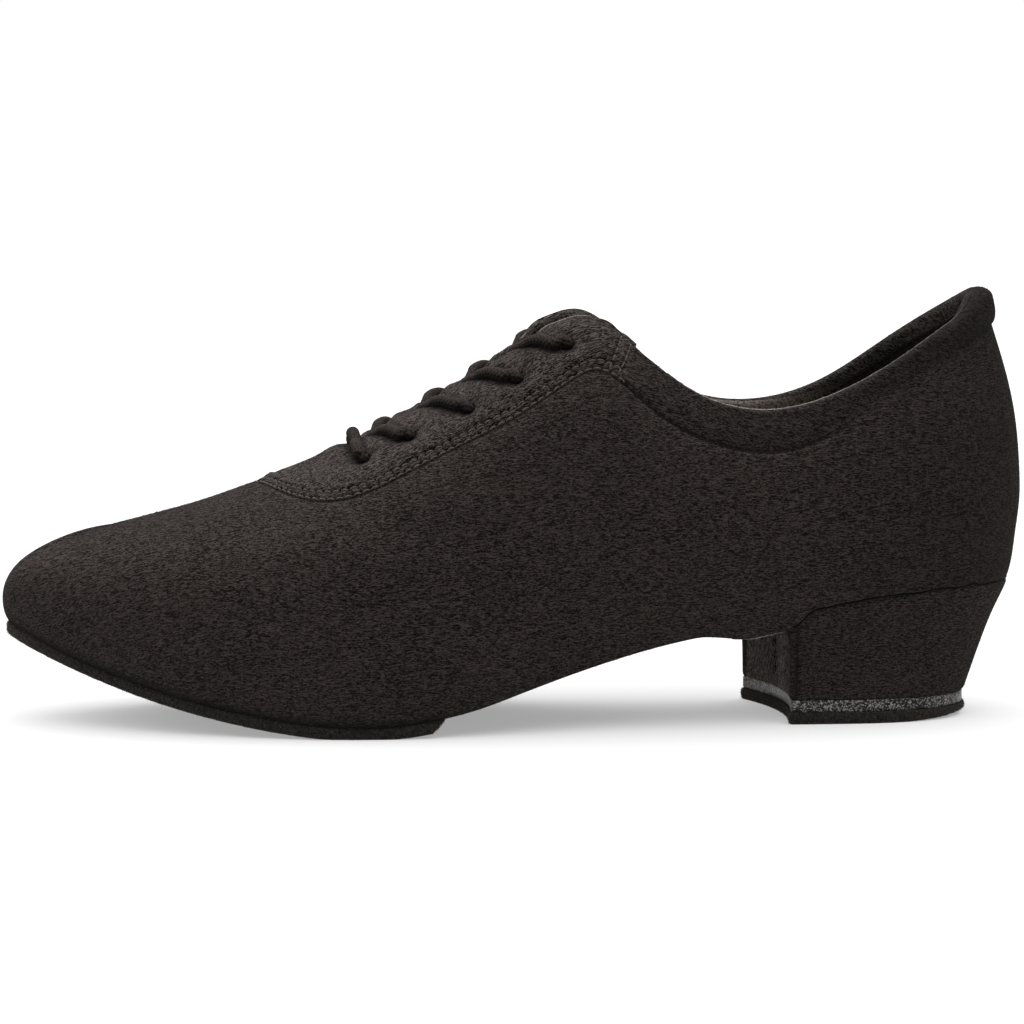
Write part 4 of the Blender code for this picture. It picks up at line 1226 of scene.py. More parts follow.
def grow(name, source, tree, **values):
    """Runs a tree on an object, keeps what it makes as a plain mesh piece and removes the object."""
    modifier = source.modifiers.new(tree.name, "NODES")
    modifier.node_group = tree
    for item in tree.interface.items_tree:
        if item.in_out == "INPUT" and item.name.replace(" ", "_") in values:
            modifier[item.identifier] = values[item.name.replace(" ", "_")]
    depsgraph = bpy.context.evaluated_depsgraph_get()
    mesh = bpy.data.meshes.new_from_object(source.evaluated_get(depsgraph), depsgraph=depsgraph)
    left = source.data
    bpy.data.objects.remove(source)
    bpy.data.meshes.remove(left)
    mesh.name = name
    made = bpy.data.objects.new(name, mesh)
    bpy.context.scene.collection.objects.link(made)
    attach(made, "root")
    print(name, triangles(made), "triangles")
    return made


def add_path(name, points, **stored):
    """A polyline of points in millimetres, with values or ways stored on them."""
    return new_object(name, points, [(i, i + 1) for i in range(len(points) - 1)], **stored)


def named(tree, name, kind="FLOAT"):
    """A value or way that is stored on the points."""
    return add_node(tree, "GeometryNodeInputNamedAttribute", {"Name": name}, data_type=kind).outputs[0]


def store(tree, geometry, name, value):
    return add_node(tree, "GeometryNodeStoreNamedAttribute", {
        "Geometry": geometry, "Name": name, "Value": value}, data_type="FLOAT", domain="POINT").outputs[0]


def even_line(tree, given):
    """The path as a curve whose points stand an even step apart."""
    line = add_node(tree, "GeometryNodeMeshToCurve", {0: given["Geometry"]}).outputs[0]
    return add_node(tree, "GeometryNodeResampleCurve", {
        "Curve": line, "Length": given["Step"]}, mode="LENGTH").outputs[0]


def ring(tree, points, radius):
    return add_node(tree, "GeometryNodeCurvePrimitiveCircle", {"Resolution": points, "Radius": radius}).outputs[0]


def swept(tree, line, section, **scale):
    """A closed tube: a section drawn along a line."""
    return add_node(tree, "GeometryNodeCurveToMesh", {
        "Curve": line, "Profile Curve": section, "Fill Caps": True, **scale}).outputs[0]


def vectors(tree, operation, inputs):
    return add_node(tree, "ShaderNodeVectorMath", inputs, operation=operation).outputs[0]


# %% [markdown]
# ## Lace
# The lace is a round braided cord. Its braid is two sets of strands that wind opposite ways: where a strand runs on
# top, the surface is higher. Geometry Nodes sweep a circle along the route and push the surface out by that pattern.

# %% Lace
BRAID_STRANDS = 6            # strands that wind each way
BRAID_PITCH = 7.0            # mm along the cord for one turn of a strand
BRAID_RELIEF = 0.24          # mm
BRAID_STEP, BRAID_ROUND = 0.22, 32   # mm between the sweep's rings, and points round each ring
LACE_LEVELS, LACE_PAINTED_LIGHT = (-0.15, 1.0), (0.06, 1.0)    # upward part of the normal, and the painted light and shade there: dark underneath, light on top
# the cord's colour fades to dark by the stored tone, which holds painted light and shade
LACE_CORD = speckled("braided polyester cord", "#050404", "#4b4440", 0.3, 0.9, 0.8, fade="tone",
                     **{"Sheen Weight": 0.12, "Sheen Roughness": 0.4, "Sheen Tint": linear("#8f8782"), **DULL})


def braid_tree():
    tree, given = new_tree("braided cord", {
        "Diameter": ("Float", LACE * MM), "Strands": ("Float", BRAID_STRANDS), "Pitch": ("Float", BRAID_PITCH * MM),
        "Relief": ("Float", BRAID_RELIEF * MM), "Step": ("Float", BRAID_STEP * MM), "Material": ("Material", None)})
    along = add_node(tree, "GeometryNodeSplineParameter").outputs["Length"]
    turn = add_node(tree, "GeometryNodeSplineParameter").outputs["Index"]
    line = store(tree, even_line(tree, given), "along", along)
    section = store(tree, ring(tree, BRAID_ROUND, 0.5), "turn", turn)
    thick = named(tree, "thick")
    tube = swept(tree, line, section, Scale=maths(tree, "MULTIPLY", thick, given["Diameter"]))
    winding = maths(tree, "DIVIDE", named(tree, "along"), given["Pitch"])
    around = maths(tree, "MULTIPLY", named(tree, "turn"), 1 / BRAID_ROUND)
    winding, around = (maths(tree, "MULTIPLY", share, given["Strands"]) for share in (winding, around))
    phases = [maths(tree, way, around, winding) for way in ("ADD", "SUBTRACT")]
    strands = [maths(tree, "COSINE", maths(tree, "MULTIPLY", phase, 2 * math.pi)) for phase in phases]
    push = maths(tree, "MULTIPLY", maths(tree, "MAXIMUM", *strands), given["Relief"])
    push = maths(tree, "MULTIPLY", push, thick)
    out = add_node(tree, "GeometryNodeInputNormal").outputs[0]
    braid = add_node(tree, "GeometryNodeSetPosition", {
        "Geometry": tube, "Offset": vectors(tree, "SCALE", {0: out, "Scale": push})}).outputs[0]
    # painted light and shade: lighter where the cord looks up, darker underneath
    level = add_node(tree, "ShaderNodeSeparateXYZ", {"Vector": out}).outputs["Z"]
    finish_tree(tree, store(tree, braid, "tone", ranged(tree, level, LACE_LEVELS, LACE_PAINTED_LIGHT)), given["Material"])
    return tree


lace = grow("braided_lace", add_path("lace_route", lace_line, thick=lace_thick), braid_tree(), Material=LACE_CORD)
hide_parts(*["lace_%d" % (row + 1) for row in range(len(HOLE_ROWS))])

# %% [markdown]
# ## Insole
# The sock inside is a thin foam covered with dark cloth. It shows only from above, through the collar: a flat sheet
# on the bottom of the last, with its edge rounded down.

# %% Insole
INSOLE, INSOLE_INSET, INSOLE_RUNGS = 2.5, 3.0, 33    # mm thick, mm inside the edge, points across
INSOLE_DROP = 0.9             # mm that its edge is rounded down
INSOLE_CLOTH = speckled("foam sock with a woven cover", "#1b1a1a", "#34312f", 0.5, 0.92, 0.5)


def ladder(lateral, medial, height, across):
    """Net of rungs between two edges."""
    shares = np.linspace(0, 1, across)
    net = np.stack([lateral + (medial - lateral) * share for share in shares], 1)
    net[..., 2] = height(net[..., 0])
    return net


insole_base = columns_between(0.0, LENGTH, 16, 60, 20)
insole_net = ladder(line_of("edge", insole_base, LATERAL, -INSOLE_INSET),
                    line_of("edge", insole_base, MEDIAL, -INSOLE_INSET),
                    lambda s: bottom_height(s) + WALL + GAP + INSOLE, INSOLE_RUNGS)
in_from_edge = np.minimum(np.arange(INSOLE_RUNGS), np.arange(INSOLE_RUNGS)[::-1]) / 3
insole_net[..., 2] -= INSOLE_DROP * np.maximum(1 - in_from_edge, 0) ** 2
flat = placed(insole_net).reshape(-1, 3)
first, _, faces = welded(flat, net_faces(*insole_net.shape[:2]))
insole = add_piece("insole_sock", flat[first], [face[::-1] for face in faces], [INSOLE_CLOTH])
add_wall(insole, INSOLE, 0, 0)
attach(insole, "root")
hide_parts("insole")
print("insole looks up:", round(float(insole.data.polygons[200].normal.z), 2))

# %% [markdown]
# ## Suede soles
# The forefoot sole and the heel's lift are buffed suede, rough side out so that they slide and turn. Their cut edges
# are ragged: the outline wavers by a tenth of a millimetre and short fibres stand out of it.

# %% Forefoot sole
SOLE, SOLE_PROUD, SOLE_BOW = 2.7, 0.7, 4.0     # mm thick, past the upper's edge, and of the rear end's bow
SOLE_START, SOLE_RUNGS = 149.0, 21             # station, and points across
SOLE_SKIVE = 2.6              # mm that the rear end is pared away
SOLE_NOSE = 1.3               # mm that the sole reaches further ahead under the toe's tip
RAGGED, RAGGED_SIZE = 0.16, 1.3     # mm
noise.seed_set(1)              # the noise of ways is taken from the clock otherwise
SUEDE_GRAIN = 0.7             # mm
SUEDE = speckled("buffed suede", "#070606", "#2b2827", SUEDE_GRAIN, 1.0, 0.9,
                 **{"Sheen Weight": 0.25, "Sheen Roughness": 0.5, "Sheen Tint": linear("#7d726a"),
                    "Specular IOR Level": 0.1})


def stacked(levels):
    """Points and faces of a solid through nets that lie one under another."""
    rows, columns = levels[0].shape[:2]
    index = np.arange(rows * columns).reshape(rows, columns)
    border = np.concatenate([index[:, 0], index[-1, 1:], index[-2::-1, -1], index[0, -2:0:-1]])
    size = rows * columns
    cap = net_faces(rows, columns)
    faces = cap[:, ::-1].tolist() + (cap + size * (len(levels) - 1)).tolist()
    for level in range(len(levels) - 1):
        here, there = border + size * level, np.roll(border, -1) + size * level
        faces += np.stack([here, there, there + size, here + size], -1).tolist()
    points = placed(np.concatenate([net.reshape(-1, 3) for net in levels]))
    first, _, faces = welded(points, faces)
    return points[first], faces


def ragged(points, amount):
    """Points shaken sideways by a fine fixed noise."""
    shake = np.array([noise.noise_vector(Vector(p) / RAGGED_SIZE) for p in points])
    return points + shake * amount * (1, 1, 0.4)


def sole_level(depth, grow, skive):
    base = columns_between(SOLE_START, LENGTH, 2, 190, 60)
    base = base + skive * (1 - smooth((base - SOLE_START) / 12))
    net = ladder(line_of("edge", base, LATERAL, grow), line_of("edge", base, MEDIAL, grow), lambda s: s, SOLE_RUNGS)
    shares = np.linspace(-1, 1, SOLE_RUNGS)
    fading = (1 - smooth((base - base[0]) / 25))[:, None]
    net[..., 0] -= SOLE_BOW * (1 - shares**2) * fading
    net[..., 0] += SOLE_NOSE * smooth((net[..., 0] - 226) / 26)
    net[..., 2] = np.maximum(bottom_height(net[..., 0]) - depth, 0)
    return net


sole_points, sole_faces = stacked([
    sole_level(-0.1, SOLE_PROUD - 0.5, 0.0), sole_level(0.4, SOLE_PROUD, 0.2),
    sole_level(GAP + SOLE * 0.5, SOLE_PROUD + 0.15, SOLE_SKIVE * 0.5),
    sole_level(GAP + SOLE - 0.4, SOLE_PROUD + 0.05, SOLE_SKIVE * 0.9),
    sole_level(GAP + SOLE, SOLE_PROUD - 0.3, SOLE_SKIVE)])
sole_points = ragged(sole_points, RAGGED)
sole_points[:, 2] = np.maximum(sole_points[:, 2], 0)
forefoot_outsole = add_piece("sole_suede", sole_points, sole_faces, [SUEDE])
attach(forefoot_outsole, "root")
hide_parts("forefoot_outsole")
print("forefoot sole", triangles(forefoot_outsole), "triangles")

# %% [markdown]
# ## Heel
# The heel is a block covered with the upper's cloth, which is drawn round to the hollow breast and closed there by a
# short upright slit. Under it sit a clear plate full of glitter and a suede lift. Each is a stack of plan outlines:
# round at the back, hollow at the front, with the corners softened by averaging neighbouring points.

# %% Heel outlines
HEEL_COLUMNS = ("down", "back", "front_lateral", "front_medial", "half")
HEEL_ROWS = (
    (0.0, 3.7, 61.3, 67.2, 25.0),
    (0.3, 6.3, 60.8, 66.4, 24.4),
    (0.65, 9.8, 60.8, 66.1, 23.6),
    (1.0, 13.2, 60.8, 66.1, 23.0),
)
HEEL = dict(zip(HEEL_COLUMNS, np.array(HEEL_ROWS).T))
LIFT, PLATE, LIFT_PROUD, BREAST_HOLLOW = 3.4, 2.2, 0.4, 3.6
HEEL_FOOT = LIFT + PLATE + 2 * GAP
OUTLINE_POINTS = 420
CORNER_SOFT = 1.5             # mm over which corners are averaged


def heel_outline(down, grow=0.0, soft=CORNER_SOFT):
    """Plan of the heel at a share of the way down, as evenly spaced points from the back round the outer side."""
    back, half = spline(HEEL, "back", down) - grow, spline(HEEL, "half", down) + grow
    sides = []
    for side, name in ((LATERAL, "front_lateral"), (MEDIAL, "front_medial")):
        front = spline(HEEL, name, down) + grow
        station = back + (front - back) * (1 - np.cos(np.linspace(0, math.pi / 2, 120)))
        width = half * rounded((station - back) / HEEL_ROUND, HEEL_POWER)
        sides.append(np.stack([station, side * width], -1))
    across = np.linspace(0, 1, 60)[1:-1, None]
    breast = sides[0][-1] + (sides[1][-1] - sides[0][-1]) * across
    breast[:, 0] -= BREAST_HOLLOW * (1 - (2 * across[:, 0] - 1) ** 2)
    line = np.concatenate([sides[0], breast, sides[1][::-1]])[:-1]
    closed = np.concatenate([line, line[:1]])
    length = travelled(closed)
    line = interpolated(np.linspace(0, length[-1], OUTLINE_POINTS + 1)[:-1], length, closed)
    reach = np.arange(-12, 13)
    weights = bell(reach * length[-1] / OUTLINE_POINTS, soft)
    weights /= weights.sum()
    return sum(w * np.roll(line, int(r), axis=0) for w, r in zip(weights, reach))


def outline_stack(outlines, heights):
    """Points and faces of a solid through closed outlines, from the top down."""
    net = placed([np.concatenate([line, np.reshape(height, (-1, 1)) * np.ones((len(line), 1))], axis=1)
                  for line, height in zip(outlines, heights)])
    rows, columns = net.shape[:2]
    faces = net_faces(rows, columns, around=True)[:, ::-1].tolist()
    faces += [list(range(columns))[::-1], list(range((rows - 1) * columns, rows * columns))]
    return net, faces


# %% Heel block
BLOCK_LEVELS = 48
SLIT_ACROSS, SLIT_WIDTH, SLIT_DEPTH = 3.6, 0.9, 1.6        # mm
SLIT_HEIGHTS = (9.0, 20.5)                                 # mm
COVER = 0.4                                                # mm of cloth round the block
SEAT_FLARE, SEAT_REACH = 1.5, 7.0                          # mm that the cover widens to meet the upper
SEAT_LIFT = 0.8                                            # mm that its top reaches up under the upper's curve
CREASE, CREASE_WIDTH = 1.1, 0.6                            # mm by which its top edge is turned in under the upper
RIDGE, RIDGE_ACROSS, RIDGE_WIDTH = 0.6, -5.0, 5.0          # mm that the cloth is folded up beside the slit
CORNER_BACK, CORNER_CREASE, CORNER_WIDTH = 1.4, 0.5, 0.5   # mm of the upright crease just behind that corner
FOOT_TUCK, FOOT_REACH = 0.35, 0.5                          # mm
BREAST_START, BREAST_BLEND = 54.0, 3.0                     # station where the breast's face begins
BREAST_HALF = 21.5                                         # mm from the middle to where the breast turns into the side
BLOCK_TONE_AND_LIGHTS = (0.95, 1.05, 1.6)                            # lightness, and the painted light that the breast and its ridge add to it
BLOCK_SHADES = (0.97, 0.7, 0.6)                             # share of painted shade in the slit, the corner crease and the seat's crease
outlines, heights, tones = [], [], []
for down in np.linspace(0, 1, BLOCK_LEVELS + 1) ** 1.3:
    line = heel_outline(down)
    top, foot = bottom_height(line[:, 0]) + 0.3 + SEAT_LIFT, HEEL_FOOT - 0.1
    height = top * (1 - down) + foot * down
    on_side = smooth((abs(line[:, 1]) - BREAST_HALF + 2) / 2) + smooth((BREAST_START - line[:, 0]) / BREAST_BLEND)
    on_side = np.clip(on_side, 0, 1)
    on_breast = 1 - on_side
    swell = COVER + SEAT_FLARE * bell(top - height, SEAT_REACH) * on_side
    seat = bell(top - height, CREASE_WIDTH) * on_side
    tuck = FOOT_TUCK * bell(height - foot, FOOT_REACH)
    along = np.roll(line, -1, axis=0) - np.roll(line, 1, axis=0)
    inward = np.stack([-along[:, 1], along[:, 0]], -1) / np.linalg.norm(along, axis=1, keepdims=True)
    slit = bell(line[:, 1] - SLIT_ACROSS, SLIT_WIDTH) * window(height, SLIT_HEIGHTS, (1.5, 1.5)) * on_breast
    ridge = bell(line[:, 1] - RIDGE_ACROSS, RIDGE_WIDTH) * (line[:, 0] > BREAST_START)
    front = np.where(line[:, 1] < 0, spline(HEEL, "front_lateral", down), spline(HEEL, "front_medial", down))
    corner = bell(front - CORNER_BACK - line[:, 0], CORNER_WIDTH) * on_side
    outlines.append(line + inward * (CREASE * seat + tuck + SLIT_DEPTH * slit - RIDGE * ridge
                                     + CORNER_CREASE * corner - swell)[:, None])
    heights.append(height)
    # painted light on the breast and its ridge, painted shade in the slit and the creases
    tone = BLOCK_TONE_AND_LIGHTS[0] + BLOCK_TONE_AND_LIGHTS[1] * on_breast + BLOCK_TONE_AND_LIGHTS[2] * ridge
    for dark, place in zip(BLOCK_SHADES, (slit, corner, seat)):
        tone = tone * (1 - dark * place)
    tones.append(tone)
block_net, faces = outline_stack(outlines, heights)
block_tone = np.array(tones)
around = np.broadcast_to(travelled(block_net[BLOCK_LEVELS // 2]), block_net.shape[:2])
level = block_net[..., 2]
on_face = (station_of(block_net) > BREAST_START) & (abs(block_net[..., 1]) < BREAST_HALF)
block_nap = np.stack([np.where(on_face, level, around), level * 0, np.where(on_face, around, level)], -1)
block_comb = combed(block_net, block_nap)
heel_block = add_piece("heel_cover", block_net.reshape(-1, 3), faces, [MICROFIBRE, BREAST_LIT_FIBRE],
                       [*on_face[:-1].ravel(), False, False], block_tone.ravel(), nap=block_nap)
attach(heel_block, "root")
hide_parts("heel_block")
print("heel block", triangles(heel_block), "triangles")

# %% [markdown]
# The plate is clear plastic with silver flakes cast into it. Each flake is a small flat mirror that faces its own way:
# a cell pattern gives every flake its own brightness, and most lie too deep to shine.

# %% Heel plate
FLAKE = 0.3                   # mm across a flake, drawn a little large so that it shows
LIFT_TOP = LIFT - 0.45        # mm, where the plate is pressed into the suede


def glitter_plastic(name):
    material, tree = new_material(name)
    place = add_node(tree, "ShaderNodeTexCoord").outputs["Object"]
    flakes = add_node(tree, "ShaderNodeTexVoronoi", {"Vector": place, "Scale": 1 / (FLAKE * MM)})
    own = add_node(tree, "ShaderNodeSeparateColor", {"Color": flakes.outputs["Color"]}).outputs
    finish_material(tree, {
        "Base Color": tinted(tree, ranged(tree, own["Red"], (0.55, 0.95)), "#050404", "#7a7674"), "Metallic": 0.3,
        "Roughness": ranged(tree, own["Green"], target=(0.3, 0.6)),
        "Specular IOR Level": 0.2, "Coat Weight": 0.1, "Coat Roughness": 0.3, "Coat IOR": 1.49})
    return material


PLATE_GLITTER = glitter_plastic("clear plastic with silver flakes")
plate_levels = ((HEEL_FOOT - 0.05, -0.35), (HEEL_FOOT - 0.35, 0.0), (LIFT_TOP + 0.3, 0.0), (LIFT_TOP - 0.05, -0.3))
net, faces = outline_stack([heel_outline(1.0, grow, 0.9) for _, grow in plate_levels], [z for z, _ in plate_levels])
heel_plate = add_piece("plate_glitter", net.reshape(-1, 3), faces, [PLATE_GLITTER])
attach(heel_plate, "root")
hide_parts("heel_plate")

# %% [markdown]
# The lift is worn a little at the back, where the heel strikes the floor: its lower edge is bevelled there.

# %% Heel lift
WEAR, WEAR_REACH = 1.5, 22.0   # mm that the back edge is raised, and how far forward
lift_levels = ((LIFT_TOP, LIFT_PROUD - 0.4), (LIFT_TOP - 0.35, LIFT_PROUD), (LIFT_TOP * 0.5, LIFT_PROUD + 0.12),
               (0.4, LIFT_PROUD), (0.0, LIFT_PROUD - 0.35))
lift_outlines = [heel_outline(1.0, grow, 1.0) for _, grow in lift_levels]
lift_heights = []
for line, (z, _) in zip(lift_outlines, lift_levels):
    worn = WEAR * np.clip(1 - (line[:, 0] - line[:, 0].min()) / WEAR_REACH, 0, 1) ** 2
    lift_heights.append(z + worn * (1 - z / LIFT_TOP))
net, faces = outline_stack(lift_outlines, lift_heights)
lift_points = ragged(net.reshape(-1, 3), RAGGED)
lift_points[:, 2] = np.maximum(lift_points[:, 2], 0)
lift_net = lift_points.reshape(net.shape)
heel_lift = add_piece("lift_suede", lift_points, faces, [SUEDE])
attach(heel_lift, "root")
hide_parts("heel_lift")
print("heel plate and lift", triangles(heel_plate) + triangles(heel_lift), "triangles")

# %% [markdown]
# ## Stitches
# Each stitch is a short length of thread that comes up, lies on the cloth and goes down again. A path of points with
# the way out of the cloth stored on them is cut into even steps, and one little arch is set on each step.

# %% Stitch tree
def stitch_tree():
    tree, given = new_tree("row of stitches", {
        "Length": ("Float", STITCH * MM), "Step": ("Float", STITCH_STEP * MM), "Thread": ("Float", THREAD_WIDTH * MM),
        "Material": ("Material", None)})
    turned = add_node(tree, "FunctionNodeAlignRotationToVector", {
        "Vector": add_node(tree, "GeometryNodeInputTangent").outputs[0]}, axis="X").outputs[0]
    turned = add_node(tree, "FunctionNodeAlignRotationToVector", {
        "Rotation": turned, "Vector": named(tree, "outward", "FLOAT_VECTOR")}, axis="Z", pivot_axis="X").outputs[0]
    arch = add_node(tree, "GeometryNodeCurveQuadraticBezier", {
        "Resolution": 5, "Start": (-0.5, 0.0, -0.16), "Middle": (0.0, 0.0, 0.42), "End": (0.5, 0.0, -0.16)}).outputs[0]
    size = add_node(tree, "ShaderNodeCombineXYZ", {axis: given["Length"] for axis in "XYZ"}).outputs[0]
    arch = add_node(tree, "GeometryNodeTransform", {"Geometry": arch, "Scale": size}).outputs[0]
    thread = swept(tree, arch, ring(tree, 6, maths(tree, "MULTIPLY", given["Thread"], 0.5)))
    row = add_node(tree, "GeometryNodeInstanceOnPoints", {
        "Points": even_line(tree, given), "Instance": thread, "Rotation": turned}).outputs[0]
    finish_tree(tree, row, given["Material"])
    return tree


STITCH_TREE = stitch_tree()


def stitch_row(name, points, ways, thread):
    """Stitches of even length along a path, as many as there are needle holes."""
    length = travelled(points)[-1]
    step = length / (int(length / STITCH_STEP) + 0.01)
    made = grow(name, add_path(name + "_path", points, outward=ways), STITCH_TREE, Material=thread, Step=step * MM)


# %% Sew the facing and the band
for number, (points, ways) in enumerate(facing_rows):
    stitch_row("facing_stitches_%d" % (number + 1), points, ways, THREAD)
for name, side in (("lateral", LATERAL), ("medial", MEDIAL)):
    picked = sewn & (band_side == side)
    stitch_row("collar_stitches_" + name, band_seam[picked], band_out[0][picked], DARK_THREAD)
    picked = band_side == side
    stitch_row("lining_stitches_" + name, lining_seam[picked], -band_out[-1][picked], DARK_THREAD)

# %% [markdown]
# ## Cut edges and the seat's painted shadow line
# The lining is cut level with the collar's edge, and its pale fuzzy cut catches the light there, as it does along the
# outer flap of the throat. Round the heel's seat a dark cord paints the shadow in the crease of the joint. All are
# thin cords along a path, a little ragged.

# %% Thin edges
EDGE_CORD, SEAT_SHADOW_CORD, SEAT_SHADOW_SUNK = 0.36, 0.66, 0.12      # mm
EDGE_GRAIN, EDGE_SHAKE = 0.8, 0.16      # mm
RIM_EDGE, FLAP_EDGE, LIP_EDGE = (13.0, 92.0), (108.5, 124.0), (62.5, 77.0)      # stations of each cut's ends
RIM_PALE = (0.3, 1.0)                   # how pale the collar's cut is, at the back and at the sides
CREST = 95.0                            # degrees over the roll, less the wall's lean, to its crest
SEAT_FRONT, SEAT_WANDER = 62.5, 0.5     # station where the painted shadow line starts, mm that it wanders up and down
SEAT_RISE = (0.8, 1.35)                 # mm above the upper's lower edge, on the outer and on the inner side
# a dark cord paints the shadow in the crease between the heel's cover and the upper
SEAT_SHADOW_BLACK = speckled("black contact glue", "#020202", "#0a0908", FUZZ_GRAIN, 0.8, 0.5, **DULL)


def edge_tree():
    tree, given = new_tree("thin edge", {
        "Diameter": ("Float", EDGE_CORD * MM), "Step": ("Float", 0.5 * MM), "Material": ("Material", None)})
    tube = swept(tree, even_line(tree, given), ring(tree, 6, 0.5), Scale=given["Diameter"])
    finish_tree(tree, tube, given["Material"])
    return tree


def shaken(points):
    return points + EDGE_SHAKE * np.array([noise.noise_vector(Vector(p) / EDGE_GRAIN) for p in points])


EDGE_TREE = edge_tree()
rim = roll_row(ROLL_ROWS * (CREST - spline(OPENING, "lean", band_station)) / 180)[band_side == LATERAL]
flap = facing_skin[-2, :FACING_COLUMNS] + UP * 0.1
lip_rim = upper_skin[UNDER_ROWS, :len(upper_base)]
rim_at, flap_at, lip_at = (station_of(line) for line in (rim, flap, lip_rim))
rim_pale = between(RIM_PALE, smooth((rim_at - 20) / 60)) * window(rim_at, (12, RIM_EDGE[1]), (8, 6))
for name, slot, line, at, ends, pale in (
        ("collar_cut_edge", "facing", rim, rim_at, RIM_EDGE, rim_pale),
        ("flap_cut_edge", "facing", flap, flap_at, FLAP_EDGE, 0.8 * window(flap_at, FLAP_EDGE, (3, 3))),
        ("lip_cut_edge", "microfibre", lip_rim, lip_at, LIP_EDGE, 0.7 * window(lip_at, LIP_EDGE, (2, 8)))):
    picked = (at > ends[0]) & (at < ends[1])
    cut = grow(name, add_path(name + "_path", shaken(line)[picked], pale=pale[picked]), EDGE_TREE, Material=CUT_EDGE)

# %% [markdown]
# The painted shadow line follows the upper's own net: just above its lower edge, from the breast round the back.

# %% Seat's painted shadow line
order = np.roll(np.arange(upper_skin.shape[1]), -len(upper_base))
order = order[station_of(upper_skin[UNDER_ROWS, order]) < SEAT_FRONT]
seat_line = []
for c in order:
    wall = upper_skin[UNDER_ROWS:WIDEST_ROW, c] - SEAT_SHADOW_SUNK * upper_out[UNDER_ROWS:WIDEST_ROW, c]
    goal = wall[0, 2] + between(SEAT_RISE, smooth((wall[0, 1] + 10) / 20))
    goal += SEAT_WANDER * noise.noise(Vector(wall[0]) / 5)
    seat_line.append(interpolated(goal, wall[:, 2], wall))
seat_shadow = grow("seat_glue_line", add_path("seat_path", shaken(np.array(seat_line))), EDGE_TREE, Material=SEAT_SHADOW_BLACK,
            Diameter=SEAT_SHADOW_CORD * MM)

# %% [markdown]
# ## Loose fibres
# The brushed face is not a smooth skin: short fibres lie along the nap and stand out of its outline. Geometry Nodes
# scatter points on a skin, as many as its stored "fuzz" asks for, and set a thin closed cone on each, bent from the
# stored "comb" towards the way out of the cloth. Every fibre carries its own shade.

# %% Fibre tree
FIBRE_STEM = 0.1               # mm across a fibre at its root, many real fibres to one


def fibre_tree():
    tree, given = new_tree("loose fibres", {
        "Density": ("Float", 1.0), "Length": ("Float", 0.8 * MM), "Width": ("Float", FIBRE_STEM * MM),
        "Rise": ("Float", 0.3), "Spread": ("Float", 0.3), "Seed": ("Int", 0), "Material": ("Material", None)})
    dense = maths(tree, "MULTIPLY", named(tree, "fuzz"), given["Density"])
    roots = add_node(tree, "GeometryNodeDistributePointsOnFaces", {
        "Mesh": given["Geometry"], "Density": dense, "Seed": given["Seed"]}).outputs

    def drawn(kind, output, ends):
        """A random value or way for each fibre."""
        limits = {**ends, "Seed": given["Seed"]}
        return add_node(tree, "FunctionNodeRandomValue", limits, data_type=kind).outputs[output]

    shaded = store(tree, roots["Points"], "shade", drawn("FLOAT", 1, {}))
    stray = drawn("FLOAT_VECTOR", 0, {0: (-1.0, -1.0, -1.0), 1: (1.0, 1.0, 1.0)})
    away = vectors(tree, "SCALE", {0: roots["Normal"], "Scale": given["Rise"]})
    stray = vectors(tree, "SCALE", {0: stray, "Scale": given["Spread"]})
    way = vectors(tree, "ADD", {0: named(tree, "comb", "FLOAT_VECTOR"), 1: away})
    way = vectors(tree, "ADD", {0: way, 1: stray})
    turned = add_node(tree, "FunctionNodeAlignRotationToVector", {"Vector": way}, axis="Z").outputs[0]
    fibre = add_node(tree, "GeometryNodeMeshCone", {
        "Vertices": 3, "Radius Top": 0.0, "Radius Bottom": maths(tree, "MULTIPLY", given["Width"], 0.5),
        "Depth": given["Length"]}, fill_type="NGON").outputs["Mesh"]
    pile = add_node(tree, "GeometryNodeInstanceOnPoints", {
        "Points": shaded, "Instance": fibre, "Rotation": turned, "Scale": drawn("FLOAT", 1, {2: 0.55, 3: 1.15})})
    finish_tree(tree, pile.outputs[0], given["Material"])
    return tree


def fibre_material(name, dark, light):
    material, tree = new_material(name)
    shade = maths(tree, "POWER", stored(tree, "shade"), 2.0)
    finish_material(tree, {
        "Base Color": tinted(tree, shade, dark, light), "Roughness": 0.85, "Specular IOR Level": 0.05})
    return material


def fuzzy(name, points, faces, comb, fuzz, slot, **values):
    """Fibres on a skin given by its points, faces and stored ways."""
    source = new_object(name + "_roots", np.reshape(points, (-1, 3)), (), faces, comb=comb, fuzz=fuzz)
    made = grow(name, source, FIBRE_TREE, **values)


FIBRE_TREE = fibre_tree()
NAP_FIBRE = fibre_material("loose microfibre", "#060505", "#463f3b")
SOLE_FIBRE = fibre_material("loose suede fibre", "#09090a", "#5b534d")

# %% Fibres of the cloth
CLOTH_DENSITY = 4.5e5          # fibres per square metre
upper_fuzz = np.zeros(upper_net.shape[:2])
upper_fuzz[UNDER_ROWS - 1:seam_row] = 1 - bell(to_seam[UNDER_ROWS - 1:seam_row], SEAM_REACH)
upper_fuzz[seam_row:, to_seam[-1] < 1] = 1
fuzzy("upper_fibres", skin, upper_faces, upper_comb.reshape(-1, 3)[first_upper], upper_fuzz.ravel()[first_upper],
      "microfibre", Density=CLOTH_DENSITY, Seed=1, Material=NAP_FIBRE)
band_fuzz = np.zeros(band_loop.shape[:2])
band_fuzz[2:1 + OUT_ROWS + LINED_ROW] = 1
band_fuzz[1:OUT_ROWS + 2] *= 1 - in_groove
fuzzy("collar_fibres", band_loop, net_faces(*band_loop.shape[:2]), band_comb, band_fuzz, "facing",
      Density=CLOTH_DENSITY, Seed=2, Material=NAP_FIBRE)
